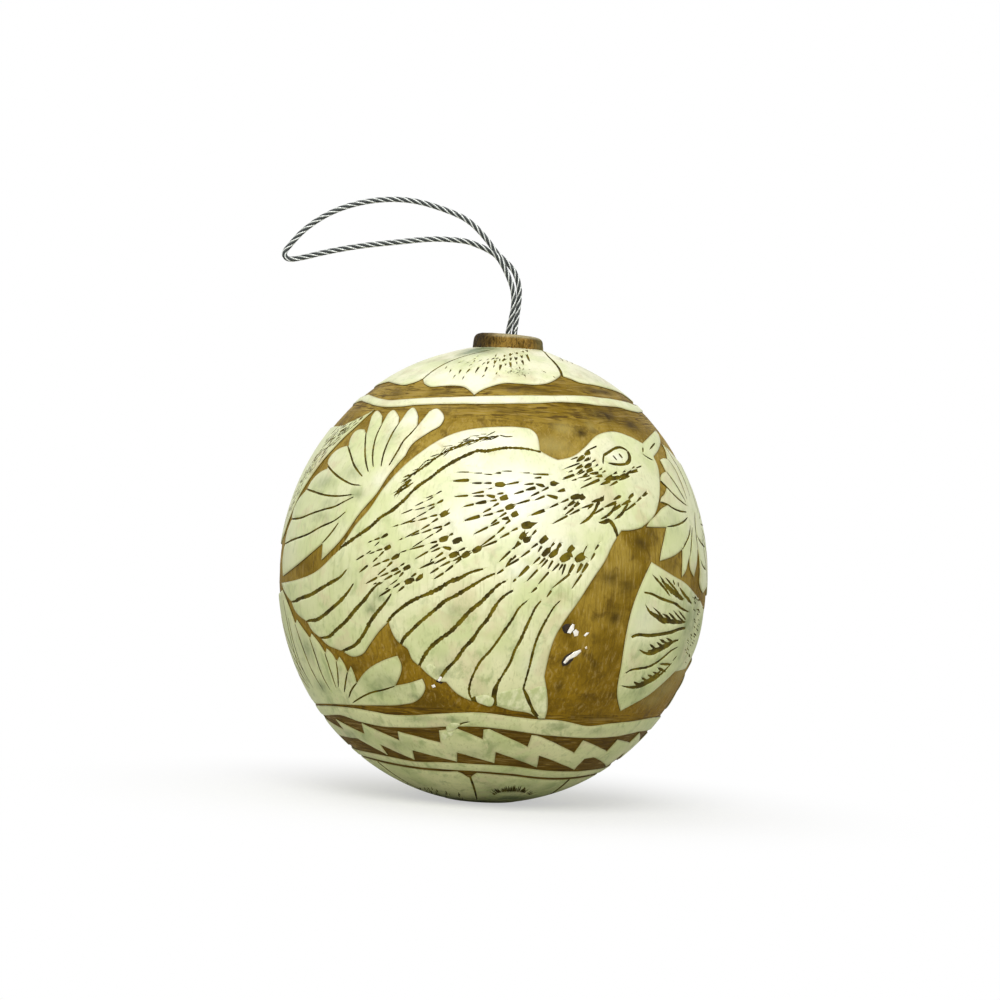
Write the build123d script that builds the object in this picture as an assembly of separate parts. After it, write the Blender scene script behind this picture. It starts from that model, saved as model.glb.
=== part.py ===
from build123d import *
import math
import os

# A carved gourd ornament: a hollow round gourd whose cream rind is left standing in raised
# islands (petals, bands, leaf fans and a bird) over a scraped brown ground, closed at the
# stem end by a wooden stopper, through which a looped cord passes to hang it by.
#
# The frame: +Z runs up the stem axis, zero height is the flat seat under the gourd, -Y is
# the front, where the bird is, and +X is to the right of the bird. Sizes are millimetres.

# Gourd
gourd_diameter = 80.0
crown_height = 42.8          # widest place up to the top pole, before the land is cut
bowl_depth = 42.1            # widest place down to the bottom pole, before the seat is cut
coat_thickness = 0.45        # how far the cream islands stand over the scraped ground
wall_thickness = 3.0
seat_radius = 6.0            # the flat that the gourd stands on
foot_radius = 7.5            # bare rind round the seat, left at the height of the islands
land_radius = 6.5            # flat under the stopper's head
carving_gap = 0.35           # least width of a cut between two islands
overrun = 5.0                # how far a cutting shape reaches past what it cuts

# Stopper
head_diameter = 13.5
head_height = 2.5
head_edge_radius = 1.0
peg_diameter = 9.0
peg_length = 6.0
peg_chamfer = 0.6
glue_thickness = 0.3
bore_diameter = 2.8
bore_offset = 0.8            # the bore lies this far to the right of the stopper's middle
bore_mouth_chamfer = 0.4

# Cord
cord_diameter = 1.0
strand_spacing = 1.2         # between the middles of the two strands where they leave the bore
hinge_rise = 0.9             # height over the stopper where the loop starts to bend
leg_gap = 0.6                # free height between the legs' ends and the loop's ends
knot_radius = 2.8
knot_flat_depth = 0.25       # the knot is flattened this much where the legs meet it
knot_clearance = 0.3         # between the knot and the stopper's peg
tail_length = 6.0
tail_splay_degrees = 16.0

# Rings of carving: their places are shares of the crown's height, or of the bowl's depth,
# up or down from the widest place of the gourd
crown_edge_share = 0.815     # lower edge of the crown petals
crown_petal_count = 5
crown_first_groove_degrees = -41.0
crown_notch_width = 2.4
crown_notch_height = 1.5
upper_band_top_share = 0.768
upper_band_width = 1.5
crown_lean_degrees = 3.2     # crown edge and upper band rise to the right by this slope
lower_band_top_share = 0.578
lower_band_width = 2.4
zigzag_width = 5.8
upper_tooth_depth = 2.15
lower_tooth_depth = 2.05
tooth_count = 22
upper_tooth_first_degrees = -0.2
lower_tooth_first_degrees = 4.8
base_ring_width = 1.15
base_petal_count = 7
base_first_groove_degrees = -6.0

# Where things lie in the reference picture, in its pixels, and how it was taken
picture_middle_column = 493
picture_middle_row = 577
picture_gourd_width = 430
picture_crown_rows = 230.06  # from the widest place up to the crown's pole, and down to the bowl's
picture_bowl_rows = 226.3
view_distance_share = 14.0   # viewing distance, as a share of the gourd's radius
view_rise_degrees = 1.15
stem_lean_degrees = 3.3      # the stem leans to the right in the picture by this much

# Outlines of the islands as pixels of the picture: each inner list is one stretch of the
# outline that runs on to the start of the next stretch, curved where it has 3 points or more.
bird_outline = [
    [(281, 583), (295, 580), (313, 573), (331, 557)],
    [(331, 557), (345, 540), (355, 525), (368, 510), (383, 488), (405, 464), (420, 452),
     (440, 439), (460, 431), (485, 426), (500, 425.5), (525, 426.5), (537, 434), (540, 450)],
    [(540, 450), (550, 456), (558, 459.5)],
    [(558, 459.5), (575, 455), (585, 447), (598, 434.5), (612, 431), (630, 436), (643, 443)],
    [(643, 443), (650, 436), (656, 430)],
    [(656, 430), (661, 440), (660, 447), (654, 456.5)],
    [(654, 456.5), (658, 465), (660.5, 485), (659, 503), (655, 515), (642, 527.5)],
    [(642, 527.5), (632, 530), (622, 530.5)],
    [(622, 530.5), (613, 545), (606, 560), (594, 578), (580, 600), (563, 624), (556, 636),
     (550, 656), (547, 680), (547.5, 708), (541, 719.5)],
    [(541, 719.5), (531, 714.5), (510, 710.5), (497, 706.5)],
    [(497, 706.5), (478, 703.5), (469, 700.5), (457, 694), (446, 682.5)],
    [(446, 682.5), (437, 681), (428, 675), (420, 667)],
    [(420, 667), (412, 660), (406, 648), (401, 645)],
    [(401, 645), (396, 640), (388, 622)],
    [(388, 622), (380, 630), (369, 645), (362.5, 654), (353, 657), (343, 652)],
    [(343, 652), (335, 649), (328, 646), (320, 638)],
    [(320, 638), (311, 630), (307, 622)],
    [(307, 622), (295, 612), (291, 602)],
    [(291, 602), (284, 592), (281, 583)],
]
upper_fan_outline = [
    [(405, 455), (410, 446), (430, 431), (441, 424), (444, 417), (437, 408), (429, 411)],
    [(429, 411), (417, 426)],
    [(417, 426), (418, 416)],
    [(418, 416), (413, 407), (407, 411)],
    [(407, 411), (398, 424)],
    [(398, 424), (399, 417)],
    [(399, 417), (393, 409.5), (387, 414)],
    [(387, 414), (381, 425)],
    [(381, 425), (382, 416)],
    [(382, 416), (377, 410), (371, 416)],
    [(371, 416), (366, 434)],
    [(366, 434), (364, 429)],
    [(364, 429), (358, 429), (352, 434), (348, 445)],
    [(348, 445), (340, 447.5), (332, 453.5), (327.5, 460)],
    [(327.5, 460), (327, 468)],
    [(327, 468), (320, 471.5), (313, 478), (306.5, 489)],
    [(306.5, 489), (299, 497.5), (293, 510), (291, 520)],
    [(291, 520), (287.5, 529), (284, 546)],
    [(284, 546), (282, 561), (282.5, 576)],
    [(282.5, 576), (300, 562), (322, 543)],
    [(322, 543), (321, 560)],
    [(321, 560), (340, 540), (360, 512), (377, 492), (388, 475), (405, 455)],
]
lower_fan_outline = [
    [(284, 599), (292, 616), (300, 629), (311, 643), (323, 654)],
    [(323, 654), (336, 658), (344, 668)],
    [(344, 668), (349, 665), (354, 681)],
    [(354, 681), (366, 668.5), (382, 659), (396, 654)],
    [(396, 654), (399, 664), (391.5, 684)],
    [(391.5, 684), (405, 682), (421, 678.5)],
    [(421, 678.5), (426, 689), (418, 699), (409, 702), (385, 704), (353, 702)],
    [(353, 702), (340, 700), (316, 699.5)],
]
right_fan_outline = [
    [(669, 455), (666, 466), (665, 480), (665, 500)],
    [(665, 500), (669, 505), (663.5, 512.5)],
    [(663.5, 512.5), (658, 520), (650, 526.5)],
    [(650, 526.5), (668, 526.5)],
    [(668, 526.5), (662, 545), (661, 561)],
    [(661, 561), (668, 560), (683, 549)],
    [(683, 549), (682.5, 577)],
    [(682.5, 577), (690, 566)],
    [(690, 566), (695, 584), (700, 592)],
]
leaf_outline = [
    [(652, 562), (671, 574), (687, 584), (698, 597)],
]
leaf_outline_below = [
    [(676, 671.6), (663, 684), (649, 695.6), (633, 705), (621, 711.5)],
    [(621, 711.5), (618, 700), (622, 664), (633, 608), (652, 562)],
]
rim_strip_outline = [
    [(372.5, 412.5), (365, 417.5), (355, 425), (345, 432), (335, 444), (325, 455.5), (315, 467),
     (305, 482), (297, 498), (289.5, 513), (284, 530)],
]

# The same outlines where they run round the side, out of the picture's sight: degrees
# round the stem from the front, and the picture row at that height
lower_fan_hidden = [(-96, 696), (-98, 660), (-98, 622), (-94, 612)]
right_fan_hidden = [(83, 580), (90, 550), (94, 505), (92, 465), (86, 446)]
half_fan_hidden = [(75, 565), (77, 540), (78, 500), (79, 465), (79, 448)]
leaf_hidden = [(79, 596), (81, 628), (75, 656)]
rim_strip_hidden = [(-87, 556), (-95, 550), (-92, 515), (-85, 482), (-77, 452), (-69, 435), (-61, 424)]

# The back carries the bird, fans and leaf again, turned round the stem
back_turn_degrees = 184.0
back_leaf_turn_degrees = 173.0

# Free cord: a corner's arc takes this share of the shorter run beside it
corner_reach_share = 0.45
# Its route as points from the right leg's end, out and back to the left leg's end: to the
# right of the stem axis, towards the back, and up from the height where the loop bends
loop_route = [
    (1.4, 0.0, 0.0), (1.6, 0.4, 2.7), (1.9, 0.7, 6.1), (1.8, 0.6, 8.8),
    (0.7, 0.6, 11.6), (-1.1, 0.7, 13.3), (-2.9, 0.8, 14.7), (-4.7, 0.9, 17.1),
    (-8.1, 1.0, 20.4), (-12.2, 1.1, 22.1), (-19.2, 1.2, 23.8), (-26.6, 1.0, 23.3),
    (-33.4, 0.7, 21.0), (-38.5, 0.4, 17.4), (-41.2, 0.2, 14.1), (-42.5, 0.0, 12.2),
    (-41.5, -0.1, 11.1), (-38.9, -0.5, 11.6), (-34.4, -1.4, 12.9), (-28.0, -2.6, 14.3),
    (-21.2, -3.1, 15.3), (-14.6, -2.8, 16.4), (-8.9, -1.9, 16.4), (-6.9, -1.5, 15.9),
    (-4.6, -1.1, 15.1), (-2.7, -0.8, 14.1), (-1.4, -0.7, 12.3), (-0.1, -0.6, 9.9),
    (0.8, -0.6, 7.6), (1.0, -0.6, 4.8), (0.5, -0.3, 1.8), (0.2, 0.0, 0.0),
]

# Worked out
gourd_radius = gourd_diameter / 2
ground_radius = gourd_radius - coat_thickness
equator_height = bowl_depth * math.sqrt(1 - (seat_radius / gourd_radius) ** 2)
land_height = equator_height + crown_height * math.sqrt(1 - (land_radius / gourd_radius) ** 2)
stopper_top = land_height + head_height
peg_end = land_height - peg_length
stem_hole_diameter = peg_diameter + 2 * glue_thickness
hinge_height = stopper_top + hinge_rise
leg_top = hinge_height - leg_gap
knot_top = peg_end - knot_clearance
crown_edge_height = equator_height + crown_edge_share * crown_height
upper_band_top = equator_height + upper_band_top_share * crown_height
upper_band_bottom = upper_band_top - upper_band_width
lower_band_top = equator_height - lower_band_top_share * bowl_depth
lower_band_bottom = lower_band_top - lower_band_width
zigzag_top = lower_band_bottom - carving_gap
zigzag_bottom = zigzag_top - zigzag_width
upper_tooth_tip = zigzag_top - upper_tooth_depth
lower_tooth_tip = zigzag_bottom + lower_tooth_depth
base_ring_top = zigzag_bottom - carving_gap
base_ring_bottom = base_ring_top - base_ring_width
base_petal_top = base_ring_bottom - carving_gap


def half_profile(inset):
    """Half of the gourd's section, to the right of the axis, this far inside the rind."""
    radius = gourd_radius - inset
    top = (0, equator_height + crown_height - inset)
    bottom = (0, equator_height - bowl_depth + inset)
    upper = [(radius * math.cos(turn), equator_height + (crown_height - inset) * math.sin(turn))
             for turn in (0, math.pi / 6, math.pi / 3)] + [top]
    lower = [(radius * math.cos(turn), equator_height - (bowl_depth - inset) * math.sin(turn))
             for turn in (0, math.pi / 6, math.pi / 3)] + [bottom]
    sides = Spline(*upper, tangents=[(0, 1), (-1, 0)]) + Spline(*lower, tangents=[(0, -1), (-1, 0)])
    return make_face(sides + Line(top, bottom))


def block(width, low, high):
    """Rectangle from the axis outwards, between two heights of the section."""
    return Pos(width / 2, (low + high) / 2) * Rectangle(width, high - low)


def spun(section):
    """Solid made by turning a section about the stem axis."""
    return revolve(Plane.XZ * section, Axis.Z)


def cylinder_between(diameter, low, high, middle=(0, 0)):
    """Upright cylinder between two heights."""
    return Pos(middle[0], middle[1], (low + high) / 2) * Cylinder(diameter / 2, high - low)


def slab(low, high, lean_degrees=0.0):
    """Everything between two heights at the axis, rising to the right by an angle."""
    width = 2 * gourd_diameter
    return Pos(0, 0, (low + high) / 2) * Rot(0, -lean_degrees, 0) * Box(width, width, high - low)


def outward(degrees):
    """Plane through the axis that faces outwards at an azimuth, with its y axis upwards."""
    turn = math.radians(degrees)
    across = (math.cos(turn), math.sin(turn), 0)
    facing = (math.sin(turn), -math.cos(turn), 0)
    return Plane(origin=(0, 0, 0), x_dir=across, z_dir=facing)


def seen(column, row):
    """Point of the gourd's surface that a pixel of the reference picture shows."""
    wide = picture_gourd_width / 2
    distance = view_distance_share * wide
    rise = math.radians(view_rise_degrees)
    lean = math.radians(stem_lean_degrees)
    focal = math.sqrt(distance ** 2 - wide ** 2)
    right = (column - picture_middle_column) * math.cos(lean)
    right -= (picture_middle_row - row) * math.sin(lean)
    up = (column - picture_middle_column) * math.sin(lean)
    up += (picture_middle_row - row) * math.cos(lean)
    ray = (right, focal * math.cos(rise) + up * math.sin(rise),
           up * math.cos(rise) - focal * math.sin(rise))
    eye = (0, -distance * math.cos(rise), distance * math.sin(rise))
    for rows, side in ((picture_crown_rows, 1), (picture_bowl_rows, -1)):
        squeeze = wide / rows
        squared = ray[0] ** 2 + ray[1] ** 2 + (ray[2] * squeeze) ** 2
        towards = ray[1] * eye[1] + ray[2] * eye[2] * squeeze ** 2
        beyond = eye[1] ** 2 + (eye[2] * squeeze) ** 2 - wide ** 2
        reach = (-towards - math.sqrt(max(towards ** 2 - squared * beyond, 0))) / squared
        x, y, z = (eye[i] + reach * ray[i] for i in range(3))
        if z * side >= 0:
            break
    half_height = crown_height if z > 0 else bowl_depth
    return Vector(x / wide * gourd_radius, y / wide * gourd_radius,
                  equator_height + z / rows * half_height)


def round_the_side(degrees, row):
    """Point of the gourd's surface at an azimuth, at the height of a row of the picture."""
    rows = picture_middle_row - row
    rise_share = rows / (picture_crown_rows if rows > 0 else picture_bowl_rows)
    height = rise_share * (crown_height if rows > 0 else bowl_depth)
    radius = gourd_radius * math.sqrt(1 - rise_share ** 2)
    turn = math.radians(degrees)
    return Vector(radius * math.sin(turn), -radius * math.cos(turn), equator_height + height)


def island(stretches, facing_degrees, turn_degrees=0):
    """Part of the coat inside an outline, turned round the stem and cut square to a plane."""
    plane = outward(facing_degrees + turn_degrees)
    edges = []
    for index, stretch in enumerate(stretches):
        following = stretches[(index + 1) % len(stretches)]
        points = stretch if (stretch[-1] - following[0]).length == 0 else stretch + [following[0]]
        points = [point.rotate(Axis.Z, turn_degrees) for point in points]
        flat = [plane.to_local_coords(point) for point in points]
        flat = [(point.X, point.Y) for point in flat]
        edges.append(Line(*flat) if len(flat) == 2 else Spline(*flat))
    face = make_face(Curve() + edges)
    prism = extrude(plane * face, gourd_radius + overrun, dir=plane.z_dir)
    return prism & coat


def seen_stretches(outline):
    """Pixels of an outline as points of the surface."""
    return [[seen(column, row) for column, row in stretch] for stretch in outline]


def hidden_stretch(places):
    """Places round the side as one stretch of an outline."""
    return [[round_the_side(degrees, row) for degrees, row in places]]


def turned(solid, degrees):
    """Copy of a solid turned round the stem."""
    return Rot(0, 0, degrees) * solid


def radial_cuts(count, first_degrees, low, high):
    """Thin upright walls from the axis outwards, which cut a ring into petals."""
    wall = Pos(0, -gourd_radius, (low + high) / 2) * Box(carving_gap, gourd_diameter, high - low)
    return [turned(wall, first_degrees + 360 / count * i) for i in range(count)]


def wedge(points, degrees):
    """Flat outline at an azimuth, pushed outwards through the wall of the gourd."""
    face = make_face(Polyline(*points, close=True))
    plane = outward(degrees)
    return extrude(plane * face, gourd_radius + overrun, dir=plane.z_dir)


def bare_ends():
    """Section of the land and the foot, where the rind isn't carved."""
    low = equator_height - gourd_diameter
    high = equator_height + gourd_diameter
    return block(land_radius, equator_height, high) + block(foot_radius, low, equator_height)


def make_shell():
    section = half_profile(coat_thickness) + (half_profile(0) & bare_ends())
    section -= half_profile(coat_thickness + wall_thickness)
    section -= block(stem_hole_diameter / 2, equator_height, land_height + overrun)
    return spun(section & block(gourd_diameter, 0, land_height))


def make_coat():
    return spun(half_profile(0) - half_profile(coat_thickness) - bare_ends())


def make_ring(low, high):
    """Plain level ring of the coat between two heights."""
    section = half_profile(0) - half_profile(coat_thickness) - bare_ends()
    return spun(section & block(gourd_diameter, low, high))


def make_stopper():
    head = cylinder_between(head_diameter, land_height, stopper_top)
    head = fillet(head.edges().filter_by(GeomType.CIRCLE), head_edge_radius)
    peg = cylinder_between(peg_diameter, peg_end, land_height)
    peg = chamfer(peg.edges().group_by(Axis.Z)[0], peg_chamfer)
    body = head + peg
    body -= cylinder_between(bore_diameter, peg_end - overrun, stopper_top + overrun, (bore_offset, 0))
    mouth = [edge for edge in body.edges().filter_by(GeomType.CIRCLE)
             if abs(edge.radius - bore_diameter / 2) < bore_diameter / 20]
    return chamfer(mouth, bore_mouth_chamfer)


def make_glue_seam():
    inside = equator_height + (crown_height - coat_thickness - wall_thickness) * math.sqrt(
        1 - (stem_hole_diameter / 2 / (ground_radius - wall_thickness)) ** 2)
    sleeve = cylinder_between(stem_hole_diameter, inside, land_height)
    return sleeve - cylinder_between(peg_diameter, inside - overrun, land_height + overrun)


def make_crown_petals():
    ring = coat & slab(crown_edge_height, crown_edge_height + crown_height, crown_lean_degrees)
    cuts = radial_cuts(crown_petal_count, crown_first_groove_degrees,
                       equator_height, equator_height + gourd_diameter)
    for i in range(crown_petal_count):
        degrees = crown_first_groove_degrees + 360 / crown_petal_count * i
        edge_rise = math.sin(math.radians(degrees)) * crown_edge_radius * math.tan(
            math.radians(crown_lean_degrees))
        edge = crown_edge_height + edge_rise
        half = crown_notch_width / 2
        points = [(-half, edge - crown_notch_height), (half, edge - crown_notch_height),
                  (half, edge), (0, edge + crown_notch_height), (-half, edge)]
        cuts.append(wedge(points, degrees))
    return ring - cuts


def ring_radius(height):
    """Radius of the gourd at a height."""
    rise = height - equator_height
    half_height = crown_height if rise > 0 else bowl_depth
    return gourd_radius * math.sqrt(1 - (rise / half_height) ** 2)


def make_zigzag_band():
    ring = make_ring(zigzag_bottom, zigzag_top)
    pitch = 360 / tooth_count
    upper_width = 2 * ring_radius(zigzag_top) * math.sin(math.radians(pitch / 2))
    lower_width = 2 * ring_radius(zigzag_bottom) * math.sin(math.radians(pitch / 2))
    cuts = []
    for i in range(tooth_count):
        degrees = upper_tooth_first_degrees + pitch * (i - 0.5)
        half = upper_width / 2
        cuts.append(wedge([(-half, zigzag_top + coat_thickness), (-half, zigzag_top),
                           (half, upper_tooth_tip), (half, zigzag_top + coat_thickness)], degrees))
        degrees = lower_tooth_first_degrees + pitch * (i + 0.5)
        half = lower_width / 2
        cuts.append(wedge([(half, zigzag_bottom - coat_thickness), (half, zigzag_bottom),
                           (-half, lower_tooth_tip), (-half, zigzag_bottom - coat_thickness)], degrees))
    return ring - cuts


def make_base_petals():
    ring = make_ring(0, base_petal_top)
    return ring - radial_cuts(base_petal_count, base_first_groove_degrees, 0, equator_height)


def make_legs():
    sides = (bore_offset - strand_spacing / 2, bore_offset + strand_spacing / 2)
    return Compound([cylinder_between(cord_diameter, knot_top, leg_top, (side, 0)) for side in sides])


def make_knot():
    middle = knot_top + knot_flat_depth - knot_radius
    ball = Pos(bore_offset, 0, middle) * Sphere(knot_radius)
    ball &= cylinder_between(4 * knot_radius, middle - 2 * knot_radius, knot_top)
    tail_reach = knot_radius + tail_length
    tail = Pos(0, 0, -tail_reach / 2) * Cylinder(cord_diameter / 2, tail_reach)
    for side in (-1, 1):
        ball += Pos(bore_offset, 0, middle) * Rot(0, -side * tail_splay_degrees, 0) * tail
    return ball


def make_loop():
    """Tube along the route, its corners rounded as widely as their runs allow."""
    points = [Vector(x, y, hinge_height + rise) for x, y, rise in loop_route]
    runs = [(end - start).length for start, end in zip(points, points[1:])]
    radii = []
    for i in range(1, len(points) - 1):
        turn = (points[i] - points[i - 1]).get_angle(points[i + 1] - points[i])
        reach = corner_reach_share * min(runs[i - 1], runs[i])
        radii.append(reach / math.tan(math.radians(turn / 2)))
    path = FilletPolyline(*points, radius=radii)
    start = Plane(origin=path @ 0, z_dir=path % 0)
    tube = sweep(start * Circle(cord_diameter / 2), path=path)
    section = math.pi * (cord_diameter / 2) ** 2
    print("loop corner radii", ", ".join(f"{radius:.1f}" for radius in radii))
    print(f"loop length {path.length:.1f}, volume {tube.volume:.2f}, "
          f"section times length {section * path.length:.2f}")
    return tube


crown_edge_radius = ring_radius(crown_edge_height)
coat = make_coat()
rim_strip = seen_stretches(rim_strip_outline) + hidden_stretch(rim_strip_hidden)
lower_fan = seen_stretches(lower_fan_outline) + hidden_stretch(lower_fan_hidden)
right_fan = seen_stretches(right_fan_outline) + hidden_stretch(right_fan_hidden)
half_fan = seen_stretches(right_fan_outline) + hidden_stretch(half_fan_hidden)
leaf = seen_stretches(leaf_outline) + hidden_stretch(leaf_hidden) + seen_stretches(leaf_outline_below)
bird = seen_stretches(bird_outline)
upper_fan = seen_stretches(upper_fan_outline)

nodes = {
    "gourd_shell": make_shell(),
    "stopper": make_stopper(),
    "glue_seam": make_glue_seam(),
    "crown_petals": make_crown_petals(),
    "upper_band": coat & slab(upper_band_bottom, upper_band_top, crown_lean_degrees),
    "front_bird": island(bird, -12),
    "front_upper_fan": island(upper_fan, -52),
    "front_lower_fan": island(lower_fan, -60),
    "front_leaf": island(leaf, 62),
    "left_rim_strip": island(rim_strip, -80),
    "right_fan": island(right_fan, 72),
    "back_bird": island(bird, -12, back_turn_degrees),
    "back_upper_fan": island(upper_fan, -52, back_turn_degrees),
    "back_lower_fan": island(lower_fan, -60, back_turn_degrees),
    "back_half_fan": island(half_fan, 68, back_turn_degrees),
    "back_leaf": island(leaf, 62, back_leaf_turn_degrees),
    "lower_band": make_ring(lower_band_bottom, lower_band_top),
    "zigzag_band": make_zigzag_band(),
    "base_ring": make_ring(base_ring_bottom, base_ring_top),
    "base_petals": make_base_petals(),
    "cord_legs": make_legs(),
    "cord_knot": make_knot(),
    "hanging_loop": make_loop(),
}

os.makedirs("parts", exist_ok=True)
for name, solid in nodes.items():
    export_step(solid, f"parts/{name}.step")
    print(name, len(solid.solids()), "solid(s)", f"{solid.volume:.1f} mm3")
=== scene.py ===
# %% [markdown]
# # A carved gourd ornament
# The real object is a small dried gourd. A carver scraped its cream rind away down to a brown
# ground, so that a bird, leaf fans, bands and a zigzag stand up as thin islands. A wooden
# stopper closes the stem end, and a twisted metal cord runs through it to hang it by.
# The CAD frame comes first: each piece made here takes its place from it.

# %% Load the frame
import math
import random
import bmesh
import bpy
import numpy as np
from mathutils import Matrix, Vector, noise
from mathutils.geometry import delaunay_2d_cdt


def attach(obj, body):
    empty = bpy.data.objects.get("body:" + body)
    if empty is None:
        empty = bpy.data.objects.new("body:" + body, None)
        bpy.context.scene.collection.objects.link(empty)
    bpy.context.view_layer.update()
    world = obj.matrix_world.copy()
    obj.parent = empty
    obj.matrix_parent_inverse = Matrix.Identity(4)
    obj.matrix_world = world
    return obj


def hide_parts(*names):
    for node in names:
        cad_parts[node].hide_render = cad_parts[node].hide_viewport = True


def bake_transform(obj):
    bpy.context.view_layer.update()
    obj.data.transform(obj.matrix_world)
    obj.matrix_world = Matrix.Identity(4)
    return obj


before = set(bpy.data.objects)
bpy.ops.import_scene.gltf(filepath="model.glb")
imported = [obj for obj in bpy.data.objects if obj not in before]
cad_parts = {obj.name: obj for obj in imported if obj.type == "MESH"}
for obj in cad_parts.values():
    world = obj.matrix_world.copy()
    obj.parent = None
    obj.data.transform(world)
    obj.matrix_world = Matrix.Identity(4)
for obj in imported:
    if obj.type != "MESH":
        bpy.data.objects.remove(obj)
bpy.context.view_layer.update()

# %% [markdown]
# ## Sizes
# The gourd is half an ellipse above its widest place and half of another below it. All the
# carving lies on that surface, so its four sizes come first. The heights of the stopper and
# the cord are the CAD's, and the last values say how large the gourd is in the picture.

# %% Sizes, in millimetres
RADIUS = 40.0
CROWN = 42.8
BOWL = 42.1
MIDDLE = 41.6237
GROUND_DEPTH = 0.26
LAND = 83.855
STOPPER_TOP = 86.355
STOPPER_RISE = 0.35
HINGE = 87.255
BORE = 0.8
GOURD_COLUMNS = 430
MIDDLE_COLUMN = 493
MIDDLE_ROW = 577
PIXEL = 2 * RADIUS / GOURD_COLUMNS
MM = 0.001


def clear_selection():
    """Deselect everything, because an operator acts on all that is selected."""
    for thing in bpy.context.selected_objects:
        thing.select_set(False)


def pick(piece):
    """Select one object alone and make it the active one."""
    clear_selection()
    piece.select_set(True)
    bpy.context.view_layer.objects.active = piece


def smoothed(piece, degrees):
    """Shade an object smooth, apart from its edges sharper than an angle."""
    pick(piece)
    bpy.ops.object.shade_smooth_by_angle(angle=math.radians(degrees))
    clear_selection()


def store(mesh, title, values):
    """Keep a value for each point of a mesh, for its material to read."""
    kept_value = mesh.attributes.new(title, "FLOAT", "POINT")
    kept_value.data.foreach_set("value", values.astype(np.float32))


clear_selection()
print("one pixel of the picture is", round(PIXEL, 3), "mm")

# %% [markdown]
# ## Camera
# The photograph was taken from in front and a little above, with the stem leaning to the
# right. A long lens from 56 cm gives the same flat view. The camera's three axes are written
# down one by one, which is easier than guessing three angles.

# %% Camera
RISE = 0.02
LEAN = math.radians(3.3)
DISTANCE_SHARE = 14
DISTANCE = DISTANCE_SHARE * RADIUS
FOCAL = math.sqrt(DISTANCE ** 2 - RADIUS ** 2) / PIXEL
PICTURE_COLUMNS = 1000
SENSOR = 36

lens = bpy.data.cameras.new("view")
lens.sensor_width = SENSOR
lens.lens = FOCAL / PICTURE_COLUMNS * SENSOR
lens.shift_x = 0.007
lens.shift_y = 0.077
camera = bpy.data.objects.new("view", lens)
bpy.context.collection.objects.link(camera)
upright = Vector((0, math.sin(RISE), math.cos(RISE)))
sideways = Vector((1, 0, 0))
across = sideways * math.cos(LEAN) + upright * math.sin(LEAN)
above = upright * math.cos(LEAN) - sideways * math.sin(LEAN)
behind = Vector((0, -math.cos(RISE), math.sin(RISE)))
eye = Vector((0, 0, MIDDLE)) + behind * DISTANCE
camera.matrix_world = Matrix.Translation(eye * MM) @ Matrix((across, above, behind)).transposed().to_4x4()
bpy.context.scene.camera = camera
bpy.context.scene.view_settings.view_transform = "Standard"
print("lens", round(lens.lens, 1), "mm, camera at", [round(value, 4) for value in eye * MM])

# %% [markdown]
# ## The cord's route
# The cord is a loop that stands up from the stopper by its own stiffness and bends over to
# the left, where it was folded sharply. One smooth curve through a few control points gives
# that line. The strands are wound round it further down. Where the line runs down to the
# stopper its two ends pass each other, one a little behind the other.

# %% Route of the loop
ROUTE = [
    (1.4, 0.0, 0.0), (1.6, 0.4, 2.7), (1.9, 0.7, 6.1), (1.8, 0.6, 8.8),
    (0.7, 0.6, 11.6), (-1.1, 0.7, 13.3), (-2.9, 0.8, 14.7), (-4.7, 0.9, 17.1),
    (-8.1, 1.0, 20.4), (-12.2, 1.1, 22.1), (-19.2, 1.2, 23.8), (-26.6, 1.0, 23.3),
    (-33.4, 0.7, 21.0), (-38.5, 0.4, 17.4), (-41.2, 0.2, 14.1), (-42.5, 0.0, 12.2),
    (-41.5, -0.1, 11.1), (-38.9, -0.5, 11.6), (-34.4, -1.4, 12.9), (-28.0, -2.6, 14.3),
    (-21.2, -3.1, 15.3), (-14.6, -2.8, 16.4), (-8.9, -1.9, 16.4), (-6.9, -1.5, 15.9),
    (-4.6, -1.1, 15.1), (-2.7, -0.8, 14.1), (-1.4, -0.7, 12.3), (-0.1, -0.6, 9.9),
    (0.8, -0.6, 7.6), (1.0, -0.6, 4.8), (0.5, -0.3, 1.8), (0.2, 0.0, 0.0),
]


STRAND_STEP = 0.00022


def smooth_line(name, points):
    """Points of a smooth NURBS line through control points, in metres."""
    curve = bpy.data.curves.new(name, "CURVE")
    curve.dimensions = "3D"
    spline = curve.splines.new("NURBS")
    spline.points.add(len(points) - 1)
    for point, place in zip(spline.points, points):
        point.co = (*place, 1)
    spline.order_u = 3
    spline.use_endpoint_u = True
    spline.resolution_u = 40
    holder = bpy.data.objects.new(name, curve)
    bpy.context.collection.objects.link(holder)
    bpy.context.view_layer.update()
    line = bpy.data.meshes.new_from_object(holder)
    places = np.array([vertex.co[:] for vertex in line.vertices])
    bpy.data.objects.remove(holder)
    bpy.data.meshes.remove(line)
    return places


def resample(line, step):
    """The same line with its points one step apart."""
    runs = np.linalg.norm(np.diff(line, axis=0), axis=1)
    reach = np.concatenate([[0], np.cumsum(runs)])
    marks = np.linspace(0, reach[-1], max(2, int(round(reach[-1] / step)) + 1))
    return np.stack([np.interp(marks, reach, line[:, axis]) for axis in range(3)], axis=1), reach[-1]


route = [(x * MM, y * MM, (HINGE + rise) * MM) for x, y, rise in ROUTE]
loop_line, loop_length = resample(smooth_line("route", route), STRAND_STEP)
print("loop length", round(loop_length, 4), "m in", len(loop_line), "points")

# %% [markdown]
# ## Floor and light
# The photograph has a plain white ground. A wide white floor keeps a soft shadow under the
# gourd, a large soft lamp stands in front and above, and a weaker one over the top. The sky
# is white where the camera or a reflection looks at it, and gentler where it lights things.

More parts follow.
